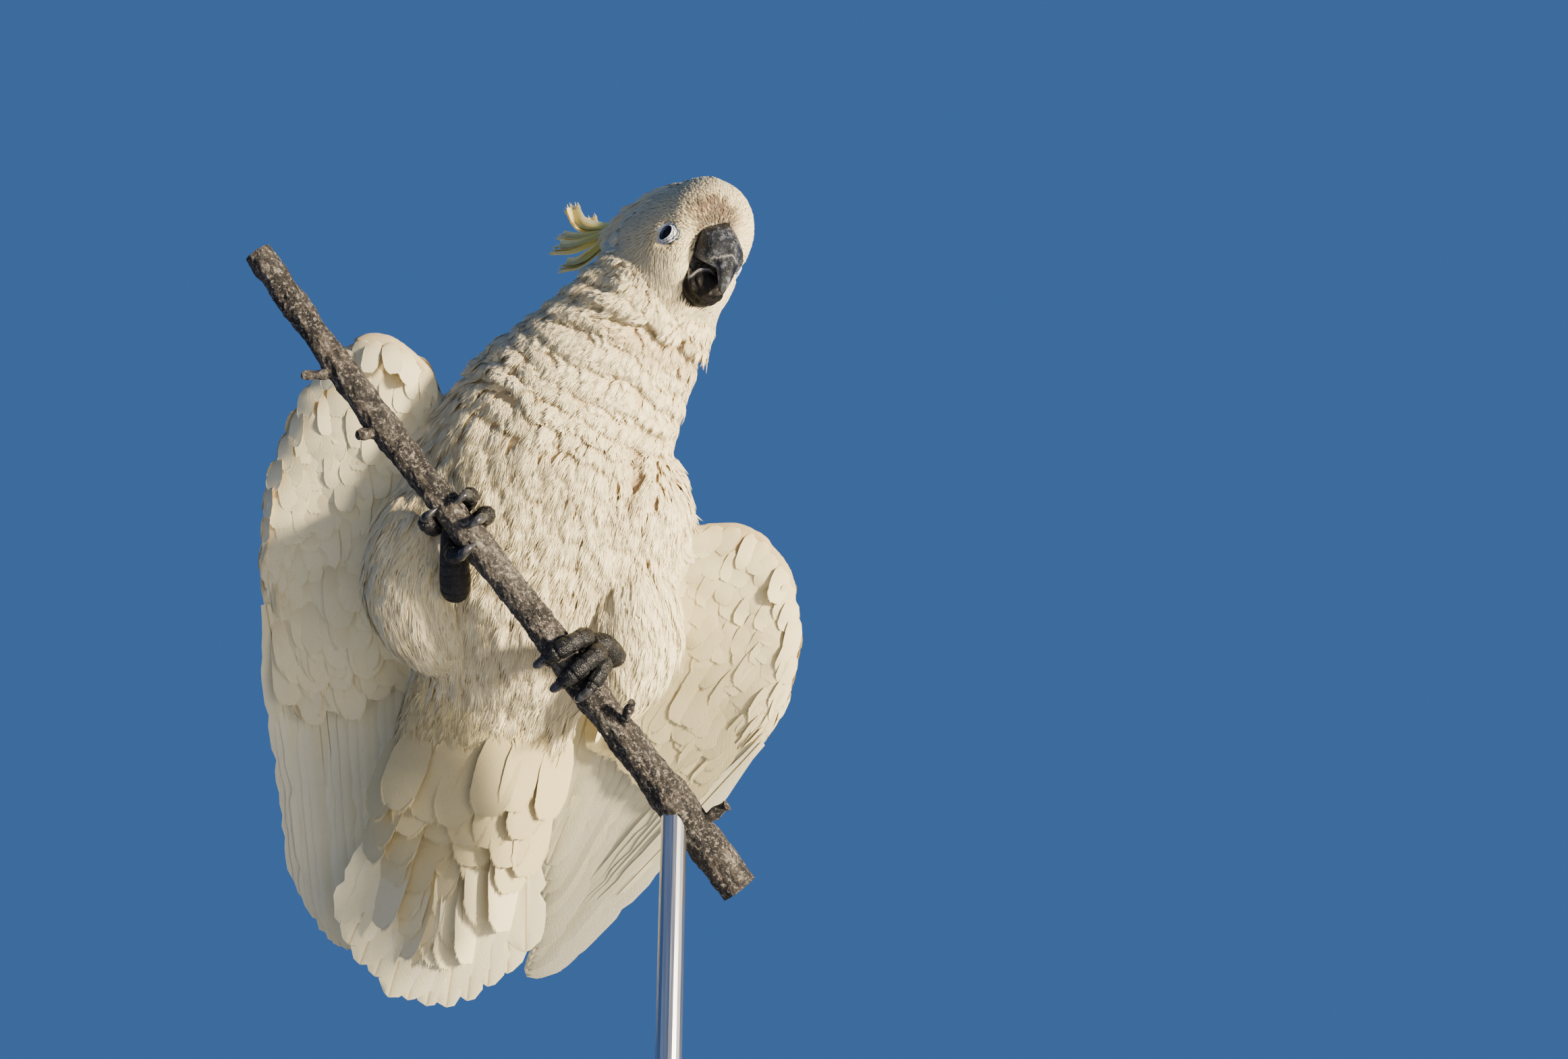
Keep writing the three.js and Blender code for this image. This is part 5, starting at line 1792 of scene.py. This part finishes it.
def lid_rows(face, sign, out, spokes, angle, radii, inner_rows):
    """Rings of an eye's bare skin, from the lid's edge out over the face and back under it."""
    centre = eye_place(sign)
    sunk = 0.4 if sign > 0 else 3.0
    rows = []
    for n, radius in enumerate(radii):
        oval = radius * (1 + 0.09 * np.cos(2 * angle))
        flat = centre + spokes * oval[:, None]
        hits = [face.ray_cast(tuple(p + out * 14), tuple(-out))[0] for p in flat]
        level = np.array([(np.array(hit) - centre) @ out if hit else 3.0 for hit in hits]) - sunk
        over_ball = math.sqrt(max(EYEBALL**2 - radius**2, 4)) + 0.2
        rest = smooth((radius - 4.0) / 1.5)
        height = over_ball * (1 - rest) + (level + 0.1) * rest
        clear = np.sqrt(np.maximum(EYEBALL**2 - oval**2, 0)) + 0.2 * (oval < EYEBALL + 0.1)
        height = np.maximum(height, clear)
        if n < inner_rows:
            lid_edge = 0.55 * math.exp(-(((radius - 4.15) / 0.45) ** 2))
            phase = radius * math.tau / 0.62 + 0.9 * np.sin(3 * angle + 1) + 0.6 * np.sin(7 * angle)
            cracks = 0.17 * waves(flat, 1.5, 51) * smooth((radius - 3.8) / 1)
            wrinkled = 0.17 * np.sin(phase) + cracks
            wrinkled = wrinkled * smooth((radius - 3.9) / 0.6) * smooth((7.3 - radius) / 1)
            height = height + lid_edge + wrinkled
        else:
            height = height - 1.6
        rows.append(flat + out * height[:, None])
    return rows


def lid_tone(rows, angle, radii):
    """How pale the eye's bare skin is: painted shade in its wrinkles, and darker towards the bill."""
    count = len(angle)
    ahead = np.tile(0.5 + 0.5 * np.cos(angle + 0.6), len(radii))
    wrinkle_shade = np.repeat(np.sin((radii - 4.2) * math.pi / 0.62) ** 2, count)
    outer = np.repeat(smooth((radii - 4.5) / 0.4), count)
    tone = 0.95 - (0.05 + 0.75 * ahead) * wrinkle_shade - 0.35 * ahead * outer
    tone = tone + (0.1 + 0.5 * ahead) * waves(np.asarray(rows).reshape(-1, 3), 1.2, 52)
    return np.clip(tone * np.repeat(smooth((radii - 3.83) / 0.1), count), 0, 1)


def build_eyes(face):
    """Dark glossy eyes set in bare, finely wrinkled lids that lie flush with the face."""
    dark, bare = eye_look(), lid_look()
    inner_rows = 40
    radii = np.concatenate([np.linspace(3.8, 5.7, inner_rows), np.linspace(5.6, 4.5, 6)])
    angle = np.linspace(0, math.tau, 120, endpoint=False)
    for sign, side in ((-1, "left"), (1, "right")):
        centre, out = eye_place(sign), eye_way(sign)
        up = unit(CROWNWARD - (CROWNWARD @ out) * out)
        ahead = np.cross(up, out)

        def eyeball(t, turn, is_pole):
            polar = t * math.pi
            round_axis = np.cos(turn)[:, None] * ahead + np.sin(turn)[:, None] * up
            cornea = 1 + 0.08 * np.clip(np.cos(polar) - 0.7, 0, 1)
            way = np.where(is_pole, 0, np.sin(polar))[:, None] * round_axis
            return centre + (way + (np.cos(polar) * cornea)[:, None] * out) * EYEBALL

        dressed(ball(f"eyeball_{side}", 48, 32, eyeball), dark, "eye_dark", f"eye_{side}")
        spokes = np.cos(angle)[:, None] * ahead + np.sin(angle)[:, None] * up
        rows = np.array(lid_rows(face, sign, out, spokes, angle, radii, inner_rows))
        # The last ring is joined to the first, so the faces run on past the last row.
        count, last = len(angle), (len(rows) - 1) * len(angle)
        k = np.arange(count)
        after = (k + 1) % count
        closing = [np.stack([k, last + k, last + after], -1), np.stack([k, last + after, after], -1)]
        triangles = np.vstack([tube_faces(len(rows), count), *closing])
        lid = outward(mesh_piece(f"eye_ring_{side}", stood(rows.reshape(-1, 3)), triangles))
        paint(lid.data, np.repeat(lid_tone(rows, angle, radii), 3).reshape(-1, 3))
        dressed(lid, bare, "plumage")


# ---------------------------------------------------------------- feet, perch and stand

PERCH_Y = -63
PERCH_LINE = [(x, PERCH_Y, z) for x, z in (
    (-122, 139), (-97, 104), (-58, 51), (-27, 12), (8, -32), (42, -78), (72, -117), (103, -158))]
PERCH_RADII = [6.4, 6.8, 7.2, 7.2, 7.7, 8.2, 8.9, 9.6]
# Each stub's place along the perch, way, length and radius.
PERCH_STUBS = [
    (0.2, (-0.8, -0.3, -0.1), 13, 2.6), (0.27, (-0.7, -0.5, -0.2), 8, 3.4),
    (0.74, (0.3, -0.75, 0.75), 15, 2.6), (0.9, (0.75, -0.3, 0.5), 12, 3.2)]
PERCH_RUN, PERCH_RISE = unit((0.615, 0, -0.788)), unit((0.788, 0, 0.615))
TOE_REACH = 7.9  # from the perch's axis to the toes' undersides
# Each toe's angles round the perch and places along it, at its root and tip, and its half width.
FEET = {
    "right": dict(
        centre=(-27, PERCH_Y, 12),
        toes=[(232, 382, -6, -9, 4.6), (232, 394, 2, 4, 4.9), (214, 152, -7, -12, 4.6),
              (214, 128, 6, 12, 4.2)],
        shank=[(-31, -52, 10), (-32, -50, -2), (-32, -47, -15), (-33, -42, -25)], half=[7, 6.8, 7.4, 6]),
    "left": dict(
        centre=(24, PERCH_Y, -53),
        toes=[(-22, 128, -5, -9, 4.8), (-22, 134, 4, 4.5, 5), (-30, -110, -5, -6, 4.4),
              (-12, 92, 9, 15, 4.2)],
        shank=[(32, -56, -45), (37, -50, -45), (41, -44, -49), (44, -36, -54)], half=[7, 7, 6.8, 6]),
}


def round_perch(centre, degrees, distance, slide):
    """A place at an angle round the perch, a distance from its axis, slid along it."""
    angle = math.radians(degrees)
    return (np.array(centre) + PERCH_RUN * slide + PERCH_RISE * math.cos(angle) * distance
            + np.array((0, -1, 0)) * math.sin(angle) * distance)


def plates(t, turn):
    """Scutes across a shank, which rounds off under the thigh's feathers."""
    band = np.abs(((t * 9) % 1) - 0.5) * 2
    rounded = 1 - np.sqrt(1 - np.clip((t - 0.8) / 0.2, 0, 1) ** 2)
    return -0.5 * smooth((band - 0.7) / 0.3) * (np.abs(np.sin(turn)) > 0.3) - 6 * rounded


def build_toe(name, centre, start, end, slide_a, slide_b, thick):
    """A toe that grips the perch from one angle round it to another, with scutes across it."""
    spine = [round_perch(centre, start + (end - start) * k, TOE_REACH + thick * (1 - 0.2 * k),
                         slide_a + (slide_b - slide_a) * k) for k in np.linspace(0, 1, 6)]
    half = [thick * k for k in (1, 1.05, 0.9, 0.95, 0.85, 0.6)]
    scutes = 0.5 * abs(end - start) / 14

    def relief(t, turn):
        band = np.abs(((t * scutes) % 1) - 0.5) * 2
        return -0.75 * smooth((band - 0.72) / 0.28) + 0.18 * np.sin(turn * 9 + np.floor(t * scutes) * 2)

    return ball(f"toe_{name}", 36, 72, limb_shape(spine, half, half, PERCH_RUN, relief=relief))


def build_claw(name, centre, start, end, slide, thick):
    """A tapering claw that goes on round the perch from the end of its toe."""
    onward = math.copysign(1, end - start)
    spine = [round_perch(centre, end + onward * turn, TOE_REACH + 0.8 * thick + lift, slide)
             for turn, lift in ((-12, 0), (0.45 * 46, 1.6), (46, -1.2))]
    return ball(f"claw_{name}", 28, 40, limb_shape(spine, [2.6, 2.2, 0.45], [2.9, 2.5, 0.5], PERCH_RUN))


def build_feet():
    scaly, horn = foot_look(), claw_look()
    for side, foot in FEET.items():
        toes, claws = [], []
        for n, (start, end, slide_a, slide_b, thick) in enumerate(foot["toes"]):
            name = f"{side}_{n}"
            toes.append(build_toe(name, foot["centre"], start, end, slide_a, slide_b, thick))
            claws.append(build_claw(name, foot["centre"], start, end, slide_b, thick))
        depth = [0.85 * half for half in foot["half"]]
        shape = limb_shape(foot["shank"], foot["half"], depth, X_AXIS, relief=plates)
        toes.append(ball(f"shank_{side}", 48, 80, shape))
        dressed(joined(toes, f"foot_scaly_{side}"), scaly, "foot_scales", f"foot_{side}")
        dressed(joined(claws, f"claws_{side}"), horn, "foot_scales", f"foot_{side}")


def build_stubs(curve, radius_at):
    """The bumpy stumps of twigs on the perch."""
    stubs = []
    for n, (station, way, length, thick) in enumerate(PERCH_STUBS):
        foot = curve.at(np.array(station))
        end = foot + unit(way) * (radius_at(np.array(station)) + length)
        half = [thick, 0.9 * thick, 0.75 * thick]

        def bumps(t, turn, n=n):
            return 0.3 * np.sin(t * 17 + n) + 0.25 * np.sin(turn * 3 + t * 9)

        shape = limb_shape([foot, (foot + end) / 2, end], half, half, (0, 0, 1), relief=bumps)
        stubs.append(ball(f"stub_{n}", 28, 36, shape))
    return stubs


def build_perch():
    """A knobbly branch with sawn ends and a few stubs."""
    curve, radius_at = Curve(PERCH_LINE), profile(PERCH_RADII)
    around, rings = 84, 300
    t = np.linspace(0, 1, rings)
    turn = np.linspace(0, math.tau, around, endpoint=False)
    tangent = curve.along(t)
    across = unit(np.array((0, 1, 0)) - tangent[:, 1:2] * tangent)
    through = np.cross(tangent, across)
    radius = radius_at(t) * (1 + 0.05 * np.sin(31 * t) + 0.03 * np.sin(67 * t + 1))
    cos, sin = np.cos(turn)[None, :, None], np.sin(turn)[None, :, None]
    outer = across[:, None] * cos + through[:, None] * sin
    flat = (curve.at(t)[:, None] + outer * radius[:, None, None]).reshape(-1, 3)
    relief = 0.55 * waves(flat, 7, 11) + 0.35 * waves(flat, 3.4, 12) + 0.3 * np.abs(waves(flat, 12, 13))
    relief = (relief + 0.2 * waves(flat, 1.9, 14)).reshape(rings, around)
    radius = radius[:, None] + relief * smooth(np.minimum(t, 1 - t) * 40)[:, None] - 0.15
    places = curve.at(t)[:, None] + outer * radius[..., None]
    hubs = [curve.at(np.array(end)) for end in (0.0, 1.0)]
    co = np.vstack([places.reshape(-1, 3), *[hub[None] for hub in hubs]])
    caps = []
    for hub, first, turned in ((len(co) - 2, 0, 1), (len(co) - 1, (rings - 1) * around, -1)):
        caps += [(hub, first + (k + 1) % around, first + k)[::turned] for k in range(around)]
    wood = mesh_piece("perch_bark", stood(co), np.vstack([tube_faces(rings, around), np.array(caps)]))
    outward(wood)
    bark, sawn = bark_look(), sawn_look()
    wood.data.materials.append(bark)
    wood.data.materials.append(sawn)
    for face in list(wood.data.polygons)[-2 * around:]:
        face.material_index = 1
    stubs = build_stubs(curve, radius_at)
    for stub in stubs:
        stub.data.materials.append(bark)
    whole = joined([wood] + stubs, "perch_wood")
    chosen(whole)
    bpy.ops.object.shade_smooth_by_angle(angle=math.radians(45))
    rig.ride(whole, "root")
    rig.slot(whole, "bark")
    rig.replaces(whole, "perch")


def dress_stand():
    wood, steel = stand_wood_look(), steel_look()
    for node, material in (("stand_base", wood), ("stand_rod", steel), ("stand_collar", steel)):
        piece = bpy.data.objects[node]
        piece.data.materials.clear()
        piece.data.materials.append(material)


# ---------------------------------------------------------------- all of it

set_camera()
set_stage()
bill = build_bill()
skin, trees = build_skin()
build_eyes(trees["head"])
plumage = plumage_look("plumage")
grow_coat(skin, trees, bill, plumage)
dressed(skin, plumage_look("skin", has_barbs=False), "plumage", "head", "neck", "trunk", "thigh_left",
        "thigh_right", "tail_coverts", "wing_left_arm", "wing_right_arm")
build_crest(plumage)
build_feet()
build_perch()
dress_stand()

with open("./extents.json", "w") as out:
    json.dump({"cad": [list(map(float, corner)) for corner in cad_box],
               "with_looks": [list(map(float, corner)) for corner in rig.bounds()]}, out)
